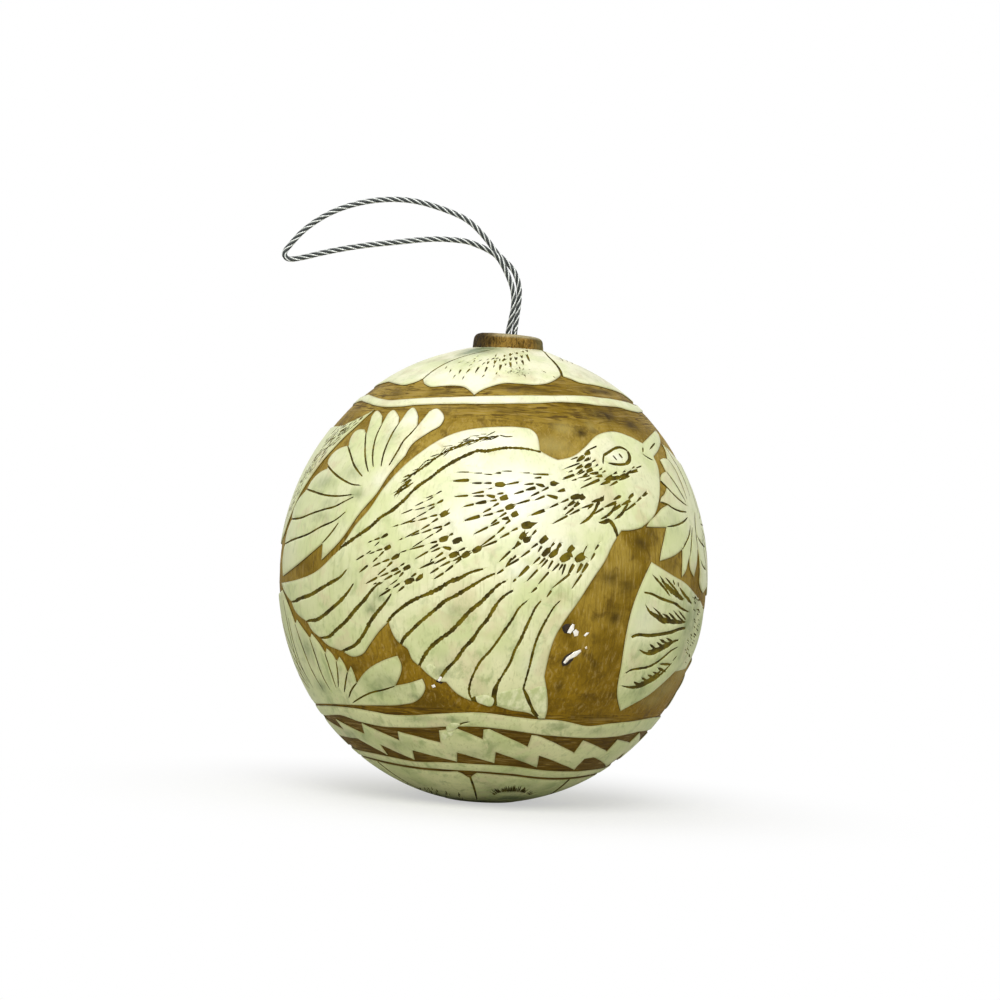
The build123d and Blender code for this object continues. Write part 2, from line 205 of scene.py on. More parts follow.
# %% Floor, lamps and sky
bpy.ops.mesh.primitive_plane_add(size=6, location=(0, 0, 0))
floor = bpy.context.object
floor.name = "studio_floor"
clear_selection()


def soft_lamp(name, place, size, power):
    """A square area lamp that looks at the gourd."""
    light = bpy.data.lights.new(name, "AREA")
    light.shape = "SQUARE"
    light.size = size
    light.energy = power
    lamp = bpy.data.objects.new(name, light)
    bpy.context.collection.objects.link(lamp)
    lamp.location = place
    aim = Vector((0, 0, 0.045)) - Vector(place)
    lamp.rotation_euler = aim.to_track_quat("-Z", "Y").to_euler()


soft_lamp("front_lamp", (-0.02, -0.66, 0.56), 0.5, 4.9)
soft_lamp("top_lamp", (-0.25, 0.1, 0.85), 0.6, 1.0)

sky = bpy.data.worlds.new("studio_sky")
bpy.context.scene.world = sky
sky.use_nodes = True
sky_nodes = sky.node_tree.nodes
sky_nodes.clear()
sky_out = sky_nodes.new("ShaderNodeOutputWorld")
blend_skies = sky_nodes.new("ShaderNodeMixShader")
gentle = sky_nodes.new("ShaderNodeBackground")
white = sky_nodes.new("ShaderNodeBackground")
gentle.inputs["Color"].default_value = (1.0, 1.0, 0.98, 1)
gentle.inputs["Strength"].default_value = 0.45
white.inputs["Color"].default_value = (1, 1, 1, 1)
white.inputs["Strength"].default_value = 1.0
rays = sky_nodes.new("ShaderNodeLightPath")
looked_at = rays.outputs["Is Camera Ray"]
for other in ("Is Glossy Ray", "Is Transmission Ray"):
    either = sky_nodes.new("ShaderNodeMath")
    either.operation = "MAXIMUM"
    sky.node_tree.links.new(looked_at, either.inputs[0])
    sky.node_tree.links.new(rays.outputs[other], either.inputs[1])
    looked_at = either.outputs[0]
sky.node_tree.links.new(looked_at, blend_skies.inputs[0])
sky.node_tree.links.new(gentle.outputs[0], blend_skies.inputs[1])
sky.node_tree.links.new(white.outputs[0], blend_skies.inputs[2])
sky.node_tree.links.new(blend_skies.outputs[0], sky_out.inputs[0])

# %% [markdown]
# ## Writing materials like sums
# A material is a chain of small nodes. Wiring each by hand is slow to read, so this class
# lets a value inside a material be added, multiplied and mixed as a plain number is.


# %% Values inside a material
class Reading:
    """A value on its way through a material."""

    def __init__(self, tree, socket):
        self.tree = tree
        self.socket = socket

    def join(self, value, socket):
        """Set a socket from a reading, or from a plain value."""
        if isinstance(value, Reading):
            self.tree.links.new(value.socket, socket)
        else:
            socket.default_value = value

    def sum(self, operation, *values):
        """One maths node on these values."""
        node = self.tree.nodes.new("ShaderNodeMath")
        node.operation = operation
        for socket, value in zip(node.inputs, values):
            self.join(value, socket)
        return Reading(self.tree, node.outputs[0])

    def node(self, kind, output, settings=None, **inputs):
        """Any other node, with its settings and its inputs by name."""
        node = self.tree.nodes.new(kind)
        for name, value in (settings or {}).items():
            setattr(node, name, value)
        for name, value in inputs.items():
            key = int(name[1:]) if name[0] == "_" else name
            self.join(value, node.inputs[key])
        return Reading(self.tree, node.outputs[output])

    def __add__(self, other):
        return self.sum("ADD", self, other)

    def __sub__(self, other):
        return self.sum("SUBTRACT", self, other)

    def __mul__(self, other):
        return self.sum("MULTIPLY", self, other)

    def between(self, low, high):
        """0 below the low value, 1 above the high one, and smooth between them."""
        return self.node("ShaderNodeMapRange", 0, {"interpolation_type": "SMOOTHSTEP"},
                         Value=self, _1=low, _2=high)

    def stretched(self, x, y, z):
        """The same place, with each direction made longer or shorter."""
        return self.node("ShaderNodeMapping", 0, Vector=self, Scale=(x, y, z))

    def grain(self, scale, detail=3.0, rough=0.55, twist=0.0):
        """Cloudy noise at this place."""
        return self.node("ShaderNodeTexNoise", 0, None, Vector=self, Scale=scale,
                         Detail=detail, Roughness=rough, Distortion=twist)

    def tint(self, first, second):
        """From the first colour at 0 to the second colour at 1."""
        return self.node("ShaderNodeMix", 2, {"data_type": "RGBA"}, _0=self, _6=first, _7=second)


def paint(red, green, blue):
    """A colour from a paint chart's 0 to 255, as the shader wants it."""
    parts = [value / 255 for value in (red, green, blue)]
    linear = [part / 12.92 if part <= 0.04045 else ((part + 0.055) / 1.055) ** 2.4 for part in parts]
    return (*linear, 1)


def new_material(name, **constants):
    """A material with one principled shader, and its place on the object as a reading."""
    material = bpy.data.materials.new(name)
    material.use_nodes = True
    tree = material.node_tree
    shader = tree.nodes["Principled BSDF"]
    for socket, value in constants.items():
        shader.inputs[socket.replace("_", " ")].default_value = value
    here = Reading(tree, tree.nodes.new("ShaderNodeTexCoord").outputs["Object"])
    return material, shader, here


def finish_paint(here, shader, tone, relief, distance=0.0001, strength=0.6):
    """Give a shader its colour, and small relief from another reading."""
    here.join(tone, shader.inputs["Base Color"])
    bump = here.node("ShaderNodeBump", 0, None, Height=relief, Distance=distance, Strength=strength)
    here.join(bump, shader.inputs["Normal"])


def stored_value(here, title):
    """A value that the mesh keeps at each point."""
    return here.node("ShaderNodeAttribute", 2, {"attribute_name": title})


def along_axis(here, axis):
    """How far along X, Y or Z (0, 1 or 2) the place is."""
    return here.node("ShaderNodeSeparateXYZ", axis, None, Vector=here)


print("colour test", [round(value, 3) for value in paint(235, 245, 190)])

# %% [markdown]
# ## White floor
# Near the gourd the floor is plain white paint, so that it catches the soft shadow. Further
# out it glows by itself, or it would turn grey where the lamps no longer reach it.

# %% Floor paint
floor_paint, shader, here = new_material("floor_paint", Roughness=0.9)
shader.inputs["Specular IOR Level"].default_value = 0.0
across_floor = along_axis(here, 0)
along_floor = along_axis(here, 1)
away = across_floor.sum("SQRT", across_floor * across_floor + along_floor * along_floor)
seen_by_camera = here.node("ShaderNodeLightPath", "Is Camera Ray")
glow = here.node("ShaderNodeEmission", 0, None, Color=(1, 1, 1, 1), Strength=1.0)
tone = seen_by_camera.tint((0.66, 0.66, 0.62, 1), (0.97, 0.97, 0.97, 1))
here.join(tone, shader.inputs["Base Color"])
share = (away.between(0.02, 0.09) * 0.5 + 0.5) * seen_by_camera
painted = Reading(here.tree, shader.outputs[0])
mixed = here.node("ShaderNodeMixShader", 0, None, _0=share, _1=painted, _2=glow)
here.join(mixed, here.tree.nodes["Material Output"].inputs["Surface"])
floor.data.materials.append(floor_paint)
print("floor painted")

# %% [markdown]
# ## Lacquered rind
# The cream rind is sanded, slightly stained and lacquered. Three sizes of noise give the
# grey-green clouds, the stains and the fine upright sanding streaks. The colour grows greener
# and darker towards the bottom, partly stain and partly painted shade where the light falls
# off, and darker towards both sides, which is painted shade. A stored value called pale
# whitens the rind where a highlight is painted over the bird's shoulder, and at a few pale
# rubbed places. A stored value called edge tells how near a carved rim is, where the lacquer
# is worn and the brown under it shows.

# %% Rind
rind, shader, here = new_material("rind", Coat_Weight=0.12, Coat_Roughness=0.25, Specular_IOR_Level=0.35)
height = along_axis(here, 2)
aside = along_axis(here, 0)
clouds = here.grain(110, 4, 0.62)
stains = here.stretched(1, 1, 0.7).grain(340, 5, 0.64, 0.5)
streaks = here.stretched(1, 1, 0.10).grain(2100, 3, 0.6)
blush = here.grain(170, 3, 0.6, 0.6)
dirt = here.grain(1500, 3, 0.6)
# Painted shade, partly stain: the rind turns greener and darker towards the bottom, where the light falls off.
low = height.between(0.066, 0.010)
tone = clouds.between(0.38, 0.64).tint(paint(246, 243, 208), paint(226, 231, 176))
tone = (low * 0.9).tint(tone, clouds.between(0.36, 0.66).tint(paint(222, 222, 164), paint(194, 202, 138)))
# Painted shade: the rind is darker and greener towards both sides, where the front light falls off.
tone = (aside.sum("ABSOLUTE", aside).between(0.012, 0.032) * 0.45).tint(tone, paint(204, 214, 146))
tone = (blush.between(0.52, 0.70) * 0.6).tint(tone, paint(216, 204, 160))
tone = (stains.between(0.50, 0.70) * (low * 0.45 + 0.22)).tint(tone, paint(150, 166, 104))
tone = (streaks.between(0.52, 0.74) * (low * 0.22 + 0.30)).tint(tone, paint(170, 172, 112))
tone = (dirt.between(0.64, 0.78) * stains.between(0.50, 0.66) * 0.6).tint(tone, paint(112, 118, 70))
smudge = stored_value(here, "smudge")
tone = (smudge * (stains.between(0.30, 0.60) * 0.6 + 0.4)).tint(tone, paint(104, 120, 72))
# Painted highlight: the stored value pale whitens the rind mostly where the highlight falls on the bird's shoulder,
# partly at pale rubbed places.
highlight_and_pale = stored_value(here, "pale")
tone = (highlight_and_pale * (clouds * 0.8 + 0.4)).tint(tone, paint(255, 254, 244))
edge = stored_value(here, "edge")
tone = (edge.between(0.55, 1.0) * 0.5).tint(tone, paint(150, 140, 78))
here.join(stains * 0.16 + 0.32, shader.inputs["Roughness"])
finish_paint(here, shader, tone, streaks * 0.6 + stains * 1.2, 0.00006, 0.5)
print("rind nodes", len(rind.node_tree.nodes))

# %% [markdown]
# ## Scraped ground
# Where the rind is gone the wall is scraped with a small gouge, so the brown is streaked
# along the strokes: level just under the bands, and more cloudy over the open fields. Low
# down the brown turns darker and more amber, and darker still below the lower band; this is
# partly the stain's colour and partly painted shade where the light falls off towards the bottom.

# %% Ground
ground, shader, here = new_material("ground", Specular_IOR_Level=0.12)
height = along_axis(here, 2)
fields = here.grain(85, 4, 0.6, 0.8)
patches = here.grain(250, 4, 0.62, 0.7)
level_strokes = here.stretched(0.07, 0.07, 1).grain(2200, 4, 0.65, 1.3)
steep_strokes = here.stretched(1, 1, 0.10).grain(1700, 4, 0.65, 0.8)
pores = here.grain(3800, 2, 0.6)
under_bands = height.between(0.0682, 0.0712) + height.between(0.0196, 0.0182)
strokes = under_bands * level_strokes + (under_bands * -1 + 1) * steep_strokes
# Painted shade, partly stain colour: the ground turns darker and more amber towards the bottom, and darker still
# below 17 mm.
low = height.between(0.052, 0.018)
tone = fields.between(0.38, 0.62).tint(paint(166, 140, 56), paint(130, 104, 14))
amber = fields.between(0.38, 0.62).tint(paint(146, 112, 0), paint(114, 86, 0))
tone = (low * 0.9).tint(tone, amber)
tone = (height.between(0.0172, 0.0150) * 0.75).tint(tone, paint(90, 66, 0))
tone = (patches.between(0.52, 0.68) * 0.6).tint(tone, paint(84, 62, 10))
tone = (strokes.between(0.51, 0.60) * (under_bands * 0.60 + 0.30)).tint(tone, paint(80, 58, 12))
tone = (strokes.between(0.46, 0.36) * 0.32).tint(tone, paint(190, 164, 104))
tone = (pores.between(0.62, 0.76) * 0.35).tint(tone, paint(70, 50, 10))
smudge = stored_value(here, "smudge")
tone = (smudge * (patches.between(0.30, 0.55) * 0.7 + 0.45)).tint(tone, paint(60, 44, 0))
filmy = stored_value(here, "pale")
tone = (filmy * (strokes * 1.2)).tint(tone, paint(172, 156, 92))
here.join(strokes * 0.25 + 0.45, shader.inputs["Roughness"])
finish_paint(here, shader, tone, strokes * 1.5 + pores * 0.4, 0.00018, 0.8)
print("ground nodes", len(ground.node_tree.nodes))

# %% [markdown]
# ## Cut lines
# Grooves and dashes are darker than the open ground, because the stain gathers in them. The
# sides of the islands are as dark: partly the incised outline, partly painted shadow along the
# foot of each island. Short noise turns the colour from nearly black to olive.

# %% Incised lines and island sides
incised, shader, here = new_material("incised", Roughness=0.7, Specular_IOR_Level=0.2)
shades = here.grain(420, 4, 0.6)
tone = shades.between(0.36, 0.66).tint(paint(60, 50, 0), paint(114, 100, 8))
tone = (here.grain(2200, 2).between(0.58, 0.75) * 0.5).tint(tone, paint(30, 22, 2))
finish_paint(here, shader, tone, shades)

# Painted shadow, partly incised outline: the islands' sides are dark brown, so each island gets a dark line at its
# foot.
sides, shader, here = new_material("island_sides", Roughness=0.65, Specular_IOR_Level=0.2)
shades = here.grain(700, 4, 0.6)
tone = shades.between(0.36, 0.66).tint(paint(64, 50, 0), paint(112, 90, 16))
finish_paint(here, shader, tone, shades)
print("materials", len(bpy.data.materials))

# %% [markdown]
# ## From the picture to the gourd
# The carving is drawn flat and then wrapped round the gourd. A place on the skin has two
# numbers in millimetres: how far round from the front, and how far up from the widest place.
# A pixel of the photograph is turned into such a place by following its line of sight.

# %% Places on the skin
ARC = 42.45
ROUND = 2 * math.pi * RADIUS
BACK_TURN = 184
BACK_LEAF_TURN = 173


def spot(column, row):
    """Place on the skin that a pixel of the picture shows."""
    wide = GOURD_COLUMNS / 2
    far = DISTANCE_SHARE * wide
    focal = math.sqrt(far ** 2 - wide ** 2)
    columns, rows_up = column - MIDDLE_COLUMN, MIDDLE_ROW - row
    right = columns * math.cos(LEAN) - rows_up * math.sin(LEAN)
    up = columns * math.sin(LEAN) + rows_up * math.cos(LEAN)
    ray = (right, focal * math.cos(RISE) + up * math.sin(RISE),
           up * math.cos(RISE) - focal * math.sin(RISE))
    start = (0, -far * math.cos(RISE), far * math.sin(RISE))
    for rows, side in ((CROWN / PIXEL, 1), (BOWL / PIXEL, -1)):
        squeeze = wide / rows
        squared = ray[0] ** 2 + ray[1] ** 2 + (ray[2] * squeeze) ** 2
        towards = ray[1] * start[1] + ray[2] * start[2] * squeeze ** 2
        beyond = start[1] ** 2 + (start[2] * squeeze) ** 2 - wide ** 2
        reach = (-towards - math.sqrt(max(towards ** 2 - squared * beyond, 0))) / squared
        x, y, z = (start[axis] + reach * ray[axis] for axis in range(3))
        if z * side >= 0:
            break
    rise = max(-1.0, min(1.0, z / rows))
    return math.atan2(x, -y) * RADIUS, math.asin(rise) * ARC


def beside(degrees, row):
    """Place on the skin at an angle round the stem, at the height of a row of the picture."""
    rows = MIDDLE_ROW - row
    rise = rows * PIXEL / (CROWN if rows > 0 else BOWL)
    return math.radians(degrees) * RADIUS, math.asin(rise) * ARC


def at_height(degrees, z):
    """Place on the skin at an angle round the stem and a height over the seat."""
    rise = (z - MIDDLE) / (CROWN if z > MIDDLE else BOWL)
    return math.radians(degrees) * RADIUS, math.asin(max(-1.0, min(1.0, rise))) * ARC


def narrowing(v):
    """How much narrower than at the widest place the gourd is there."""
    return np.maximum(np.cos(np.asarray(v) / ARC), 0.12)


def wrapped(u, v, lift):
    """Points in metres for places on the skin, moved out of it or into it by lift."""
    u, v, lift = np.broadcast_arrays(np.asarray(u, float), v, lift)
    turn, rise = u / RADIUS, v / ARC
    half = np.where(v > 0, CROWN, BOWL)
    flat, up = half * np.cos(rise), RADIUS * np.sin(rise)
    size = np.hypot(flat, up)
    out = RADIUS * np.cos(rise) + lift * flat / size
    z = MIDDLE + half * np.sin(rise) + lift * up / size
    return np.stack([out * np.sin(turn), -out * np.cos(turn), z], axis=-1) * MM


def eased(points, step=1.8):
    """Points along a smooth curve through given points, one step apart."""
    points = np.array(points, float)
    if len(points) == 2:
        count = max(1, int(np.linalg.norm(points[1] - points[0]) / step))
        return points[0] + (points[1] - points[0]) * np.linspace(0, 1, count + 1)[:, None]
    runs = np.linalg.norm(np.diff(points, axis=0), axis=1)[:, None]
    slopes = np.diff(points, axis=0) / runs
    aims = np.empty_like(points)
    aims[1:-1] = (slopes[:-1] * runs[1:] + slopes[1:] * runs[:-1]) / (runs[:-1] + runs[1:])
    aims[0] = 1.5 * slopes[0] - 0.5 * aims[1]
    aims[-1] = 1.5 * slopes[-1] - 0.5 * aims[-2]
    line = [points[:1]]
    for i, run in enumerate(runs[:, 0]):
        share = np.linspace(0, 1, max(1, int(round(run / step))) + 1)[1:, None]
        between = (points[i] * (1 + 2 * share) * (1 - share) ** 2
                   + points[i + 1] * share ** 2 * (3 - 2 * share))
        bend = aims[i] * share * (1 - share) ** 2 - aims[i + 1] * share ** 2 * (1 - share)
        line.append(between + run * bend)
    return np.concatenate(line)


def clouded(places, clouds):
    """How strong the clouds are at each place, in front and again on the back."""
    strength = np.zeros(len(places))
    for x, y, wide, tall, value in clouds:
        u, v = spot(x, y)
        reach = wide * PIXEL / max(math.cos(u / RADIUS), 0.35) / narrowing(v)
        rise = tall * PIXEL / narrowing(v)
        for turned in (0, math.radians(BACK_TURN) * RADIUS):
            along = (places[:, 0] - u - turned + ROUND / 2) % ROUND - ROUND / 2
            cloud = value * np.exp(-(along / reach) ** 2 - ((places[:, 1] - v) / rise) ** 2)
            strength = np.maximum(strength, cloud)
    return strength


print("bird's eye is at", [round(value, 1) for value in spot(618, 456)], "mm on the skin")

# %% [markdown]
# ## Smudges, painted highlight and films
# The rind and the ground have soft clouds: grey-green smudges on the rind, near-white clouds on
# the rind that are mostly a painted highlight and partly pale rubbed places, and dark blotches
# and a pale film on the ground. Each row is a cloud on the picture: its middle's column and
# row, its half width and half height in pixels, and its strength.

# %% Clouds
RIND_CLOUDS = [
    (480, 350, 16, 4, 1.3), (468, 352, 6, 4, 1.2), (448, 360, 20, 5, 0.35), (371, 608, 6, 7, 0.85),
    (378, 597, 6, 6, 0.6), (352, 472, 10, 7, 0.5), (325, 482, 9, 7, 0.5), (330, 503, 12, 6, 0.45),
    (390, 437, 6, 9, 0.35), (357, 494, 8, 5, 0.6), (322, 516, 14, 5, 0.4), (345, 655, 10, 6, 0.3),
    (452, 612, 8, 8, 0.5), (441, 672, 8, 5, 0.8), (445, 660, 8, 8, 0.3), (306, 648, 8, 14, 0.5),
    (322, 687, 6, 6, 0.8), (417, 697, 10, 3, 0.8), (420, 719, 16, 4, 0.5), (451, 719, 10, 3, 0.6),
    (352, 735, 12, 6, 0.5), (400, 745, 14, 5, 0.5), (470, 753, 22, 6, 0.4), (560, 726, 14, 5, 0.45),
    (600, 731, 16, 4, 0.5), (520, 762, 20, 5, 0.4), (640, 690, 10, 9, 0.4), (690, 622, 7, 38, 0.75),
    (683, 600, 8, 10, 0.4), (385, 684, 26, 10, 0.55), (592, 376, 22, 8, 0.2), (345, 575, 14, 12, 0.2),
    (512, 798, 20, 3, 1.2), (512, 790, 40, 8, 0.4), (400, 785, 30, 9, 0.3), (600, 372, 10, 6, 0.35),
    (525, 372, 12, 4, 0.35), (673, 520, 6, 12, 0.3),
]
GROUND_CLOUDS = [
    (581, 433, 6, 5, 1.0), (604, 416, 14, 6, 1.1), (634, 426, 7, 6, 0.9), (590, 404, 26, 3, 0.8),
    (610, 407, 20, 5, 0.4), (500, 408, 40, 3, 0.5), (641, 543, 7, 7, 0.7), (652, 533, 6, 6, 0.5),
    (612, 578, 10, 7, 0.7), (628, 586, 7, 7, 0.6), (617, 618, 7, 8, 0.8), (596, 618, 3, 3, 0.5),
    (596, 639, 3, 3, 0.8), (596, 665, 3, 3, 0.8), (570, 628, 4, 6, 0.6), (566, 664, 5, 4, 0.7),
    (580, 590, 6, 10, 0.3), (560, 690, 5, 14, 0.4), (590, 718, 25, 4, 0.5), (350, 667, 12, 5, 0.5),
    (400, 700, 30, 4, 0.6), (430, 705, 30, 5, 0.4), (300, 640, 5, 14, 0.4), (380, 480, 6, 8, 0.6),
    (300, 565, 10, 7, 0.2), (362, 433, 6, 4, 0.3), (395, 393, 14, 4, 0.4), (440, 392, 16, 3, 0.5),
    (600, 391, 18, 3, 0.8), (522, 389, 40, 3, 0.6), (660, 505, 3, 5, 0.4), (672, 565, 8, 8, 0.3),
]
# Near-white clouds on the rind: mostly a painted highlight over the bird's shoulder and back, partly pale places of
# the rind itself.
PAINTED_HIGHLIGHT_AND_PALE = [
    (515, 495, 50, 32, 0.85), (500, 440, 34, 7, 0.7), (480, 520, 40, 22, 0.5), (618, 457, 8, 5, 0.6),
    (440, 376, 30, 7, 0.4), (545, 545, 30, 12, 0.5), (470, 380, 26, 7, 0.4), (380, 480, 8, 8, 0.4),
    (412, 418, 10, 8, 0.5), (440, 418, 8, 8, 0.5), (520, 570, 12, 8, 0.6), (645, 620, 16, 22, 0.3),
    (530, 665, 10, 10, 0.2), (480, 398, 60, 4, 0.5), (505, 410, 60, 3, 0.3),
]
FILMY = [
    (668, 688, 14, 10, 0.9), (655, 700, 12, 7, 0.8), (684, 670, 9, 14, 1.1), (696, 655, 5, 10, 0.9),
    (552, 445, 20, 9, 1.0), (563, 428, 10, 6, 0.9), (592, 426, 4, 5, 0.8), (430, 408, 30, 3, 0.3),
    (350, 430, 10, 6, 0.4),
]
print("clouds", sum(len(table) for table in (RIND_CLOUDS, GROUND_CLOUDS, PAINTED_HIGHLIGHT_AND_PALE, FILMY)))

# %% [markdown]
# ## Cuts
# A cut is a line on the skin with a half width and a depth along it. A gouged cut tapers at
# both ends, and a punched mark is a short cut with a fat end. To press cuts into a surface,
# each point of it asks how far into the nearest cut it lies.


# %% Gouged and punched cuts
def gouge(places, width=2.2, start=0.3, end=0.3, deep=0.22, rough=0.0, flat=False, step=1.3):
    """One cut: its line on the skin, and its half width and depth along it. Widths are pixels."""
    line = eased(places, step) if not flat else np.array(places, float)
    line = line if flat else np.array([spot(*place) for place in line])
    runs = np.linalg.norm(np.diff(line, axis=0), axis=1)
    share = np.concatenate([[0], np.cumsum(runs)]) / max(runs.sum(), 1e-6)
    full = np.minimum(1, start + (1 - start) * share / 0.22)
    full = np.minimum(full, end + (1 - end) * (1 - share) / 0.22)
    if rough:
        wave = [noise.noise(Vector((u * 3.3, v * 3.3, 3.7))) for u, v in line]
        full = full * (1 + rough * np.array(wave))
    return line, full * width * PIXEL / 2, deep * np.sqrt(np.clip(full, 0.1, 1))


def dash(x1, y1, x2, y2, width):
    """A punched mark: round and fat at its first end, thin at its last."""
    first, last = np.array((x1, y1), float), np.array((x2, y2), float)
    length = np.linalg.norm(last - first)
    marks = np.array([0, 0.10, 0.35, 0.7, 1.0])
    full = np.array([0.68, 1.0, 1.0, 0.80, 0.36])
    if length < 1.8 * width:
        full = np.array([0.66, 0.95, 1.0, 0.92, 0.6])
    line = np.array([spot(*(first + (last - first) * mark)) for mark in marks])
    return line, full * width * PIXEL / 2, 0.20 * full


def pressed(points, cut):
    """How far into a cut each point lies: 1 at its middle line, 0 at its sides, less outside."""
    line, half, _ = cut
    narrow = narrowing(line[:, 1].mean())
    scale = np.array([narrow, 1.0])
    points, line = points * scale, line * scale
    best = np.full(len(points), -9.0)
    for number in range(len(line) - 1):
        a, b, first, last = line[number], line[number + 1], half[number], half[number + 1]
        run = b - a
        reach = ((points - a) @ run) / max(run @ run, 1e-9)
        share = np.clip(reach, 0, 1)
        gap = np.linalg.norm(points - a - share[:, None] * run, axis=1)
        value = 1 - gap / (first + share * (last - first))
        beyond = (reach < -0.01) & (number == 0) | (reach > 1.01) & (number == len(line) - 2)
        best = np.maximum(best, np.where(beyond, np.minimum(value, -0.1), value))
    return best


def depth_of_cuts(points, cuts):
    """Depth of the cuts at each point, and how far into any cut it lies."""
    depth, inside = np.zeros(len(points)), np.full(len(points), -9.0)
    for cut in cuts:
        line, half, deep = cut
        room = half.max() * 3 / narrowing(line[:, 1].mean()) + 0.1
        near = np.all((points > line.min(axis=0) - room) & (points < line.max(axis=0) + room), axis=1)
        if near.any():
            value = pressed(points[near], cut)
            inside[near] = np.maximum(inside[near], value)
            depth[near] = np.maximum(depth[near], deep.max() * np.clip(value, 0, 1) ** 0.8)
    return depth, inside


print("a punched mark has", len(dash(500, 500, 510, 500, 4)[0]), "places")

# %% [markdown]
# ## Cutting an island
# Each island is one thin plate on the gourd. Its outline and the sides and middle of every
# cut line are handed to a triangulation that keeps them as edges, and the triangles outside
# the outline are dropped. Points spread evenly over the rest keep the plate round.


# %% Triangles of an island
def encloses(outline, points):
    """Which points lie inside a closed outline."""
    inside = np.zeros(len(points), bool)
    x, y = points[:, 0], points[:, 1]
    for (x1, y1), (x2, y2) in zip(outline, np.roll(outline, -1, axis=0)):
        if y1 != y2:
            crosses = ((y1 > y) != (y2 > y)) & (x < (x2 - x1) * (y - y1) / (y2 - y1) + x1)
            inside ^= crosses
    return inside


def rim_distance(outline, points):
    """Distance from each point to the outline's nearest corner point."""
    scale = np.array([narrowing(outline[:, 1].mean()), 1.0])
    gaps = np.full(len(points), 99.0)
    for i in range(0, len(points), 2000):
        part = (points[i:i + 2000, None] - outline[None]) * scale
        gaps[i:i + 2000] = np.sqrt((part ** 2).sum(axis=2).min(axis=1))
    return gaps


def free_points(outline, cuts, spacing):
    """Points over an island, clear of its rim and cuts, and a row of them just inside the rim."""
    ahead = np.roll(outline, -1, axis=0) - np.roll(outline, 1, axis=0)
    narrow = narrowing(outline[:, 1])
    bevel = 0.2 if spacing > 0.6 else 0.1
    inward = np.stack([-ahead[:, 1], ahead[:, 0] * narrow], axis=1)
    inward /= np.maximum(np.linalg.norm(inward, axis=1), 1e-9)[:, None]
    inward[:, 0] /= narrow
    shoulder = outline + inward * bevel
    shoulder = shoulder[encloses(outline, shoulder)]
    shoulder = shoulder[rim_distance(outline, shoulder) > bevel * 0.75]
    low, high = outline.min(axis=0), outline.max(axis=0)
    inner = []
    for number, v in enumerate(np.arange(low[1], high[1], spacing * 0.87)):
        pitch = spacing / narrowing(v)
        inner += [(u, v) for u in np.arange(low[0] + (number % 2) * pitch / 2, high[0], pitch)]
    inner = np.array(inner)
    inner = inner[encloses(outline, inner)]
    inner = inner[rim_distance(outline, inner) > bevel * 2.2]
    free = np.concatenate([inner, shoulder])
    return free[depth_of_cuts(free, cuts)[1] < -0.35]


def triangulated(outline, cuts, free):
    """Places, triangles and their centres, with the rim and each cut's lines kept as edges."""
    points, edges = [*map(tuple, outline)], [(i, (i + 1) % len(outline)) for i in range(len(outline))]
    for line, half, _ in cuts:
        narrow = narrowing(line[:, 1].mean())
        along = np.gradient(line * (narrow, 1.0), axis=0)
        along /= np.maximum(np.linalg.norm(along, axis=1), 1e-9)[:, None]
        aside = np.stack([-along[:, 1] / narrow, along[:, 0]], axis=1) * half[:, None]
        base, count = len(points), len(line)
        for path in (line + aside, line, line - aside):
            edges += [(len(points) + i, len(points) + i + 1) for i in range(count - 1)]
            points += map(tuple, path)
        for end in (base, base + count - 1):
            edges += [(end, end + count), (end + count, end + 2 * count)]
    points += map(tuple, free)
    points = [Vector(point) for point in points]
    found, _, triangles, _, _, _ = delaunay_2d_cdt(points, edges, [], 0, 1e-4, False)
    places = np.array([vector[:] for vector in found])
    triangles = np.array([face for face in triangles])
    centres = places[triangles].mean(axis=1)
    kept = encloses(outline, centres)
    triangles, centres = triangles[kept], centres[kept]
    used = np.unique(triangles)
    fresh = np.full(len(places), -1)
    fresh[used] = np.arange(len(used))
    return places[used], fresh[triangles], centres


print("islands are cut from triangles")

# %% [markdown]
# A strip that runs right round the gourd is joined at its two ends. The edges that only one
# triangle has are the rim, where a wall goes down to the ground and leans out a little.


# %% Rim of an island
def welded(places, triangles, low, high):
    """The triangles with the ends of a strip right round joined, and whether that was done."""
    same = {}
    weld = np.arange(len(places))
    if high - low > ROUND - 0.01:
        for i in np.where(places[:, 0] < low + 1e-3)[0]:
            same[round(places[i, 1], 3)] = i
        for i in np.where(places[:, 0] > high - 1e-3)[0]:
            weld[i] = same.get(round(places[i, 1], 3), i)
    return weld[triangles], bool(same)


def open_edges(triangles):
    """The edges that only one triangle has."""
    rim = {}
    for a, b, c in triangles:
        for first, last in ((a, b), (b, c), (c, a)):
            if rim.pop((last, first), None) is None:
                rim[(first, last)] = True
    return list(rim)


def outward(places, rim):
    """The way out of the plate at each place on its rim, and which places lie there."""
    push = np.zeros_like(places)
    for first, last in rim:
        run = places[last] - places[first]
        run[0] = (run[0] + ROUND / 2) % ROUND - ROUND / 2
        run[0] *= narrowing(places[first, 1])
        side = np.array([run[1], -run[0]]) / max(np.hypot(*run), 1e-9)
        push[first] += side
        push[last] += side
    on_rim = np.linalg.norm(push, axis=1) > 0
    push[on_rim] /= np.maximum(np.linalg.norm(push[on_rim], axis=1), 0.7)[:, None]
    push[:, 0] /= narrowing(places[:, 1])
    return push, on_rim


print("once round is", round(ROUND, 1), "mm")

# %% [markdown]
# Carving puts it together. The top is pressed down along the cuts, which gives a true V, the
# rim is rounded a little, walls go down to the ground, and a floor closes the plate. Near
# the stopper the rind swells to a collar. Stored values tell the rind's material how near
# the rim is, where dirt lies, and where the painted highlight and the pale rubbed places lie.


# %% Islands
SWELL = 0.035
RIM_DROP = 0.10
WALL_LEAN = 0.14
COLLAR_REACH = 11
COLLAR_RUN = 4


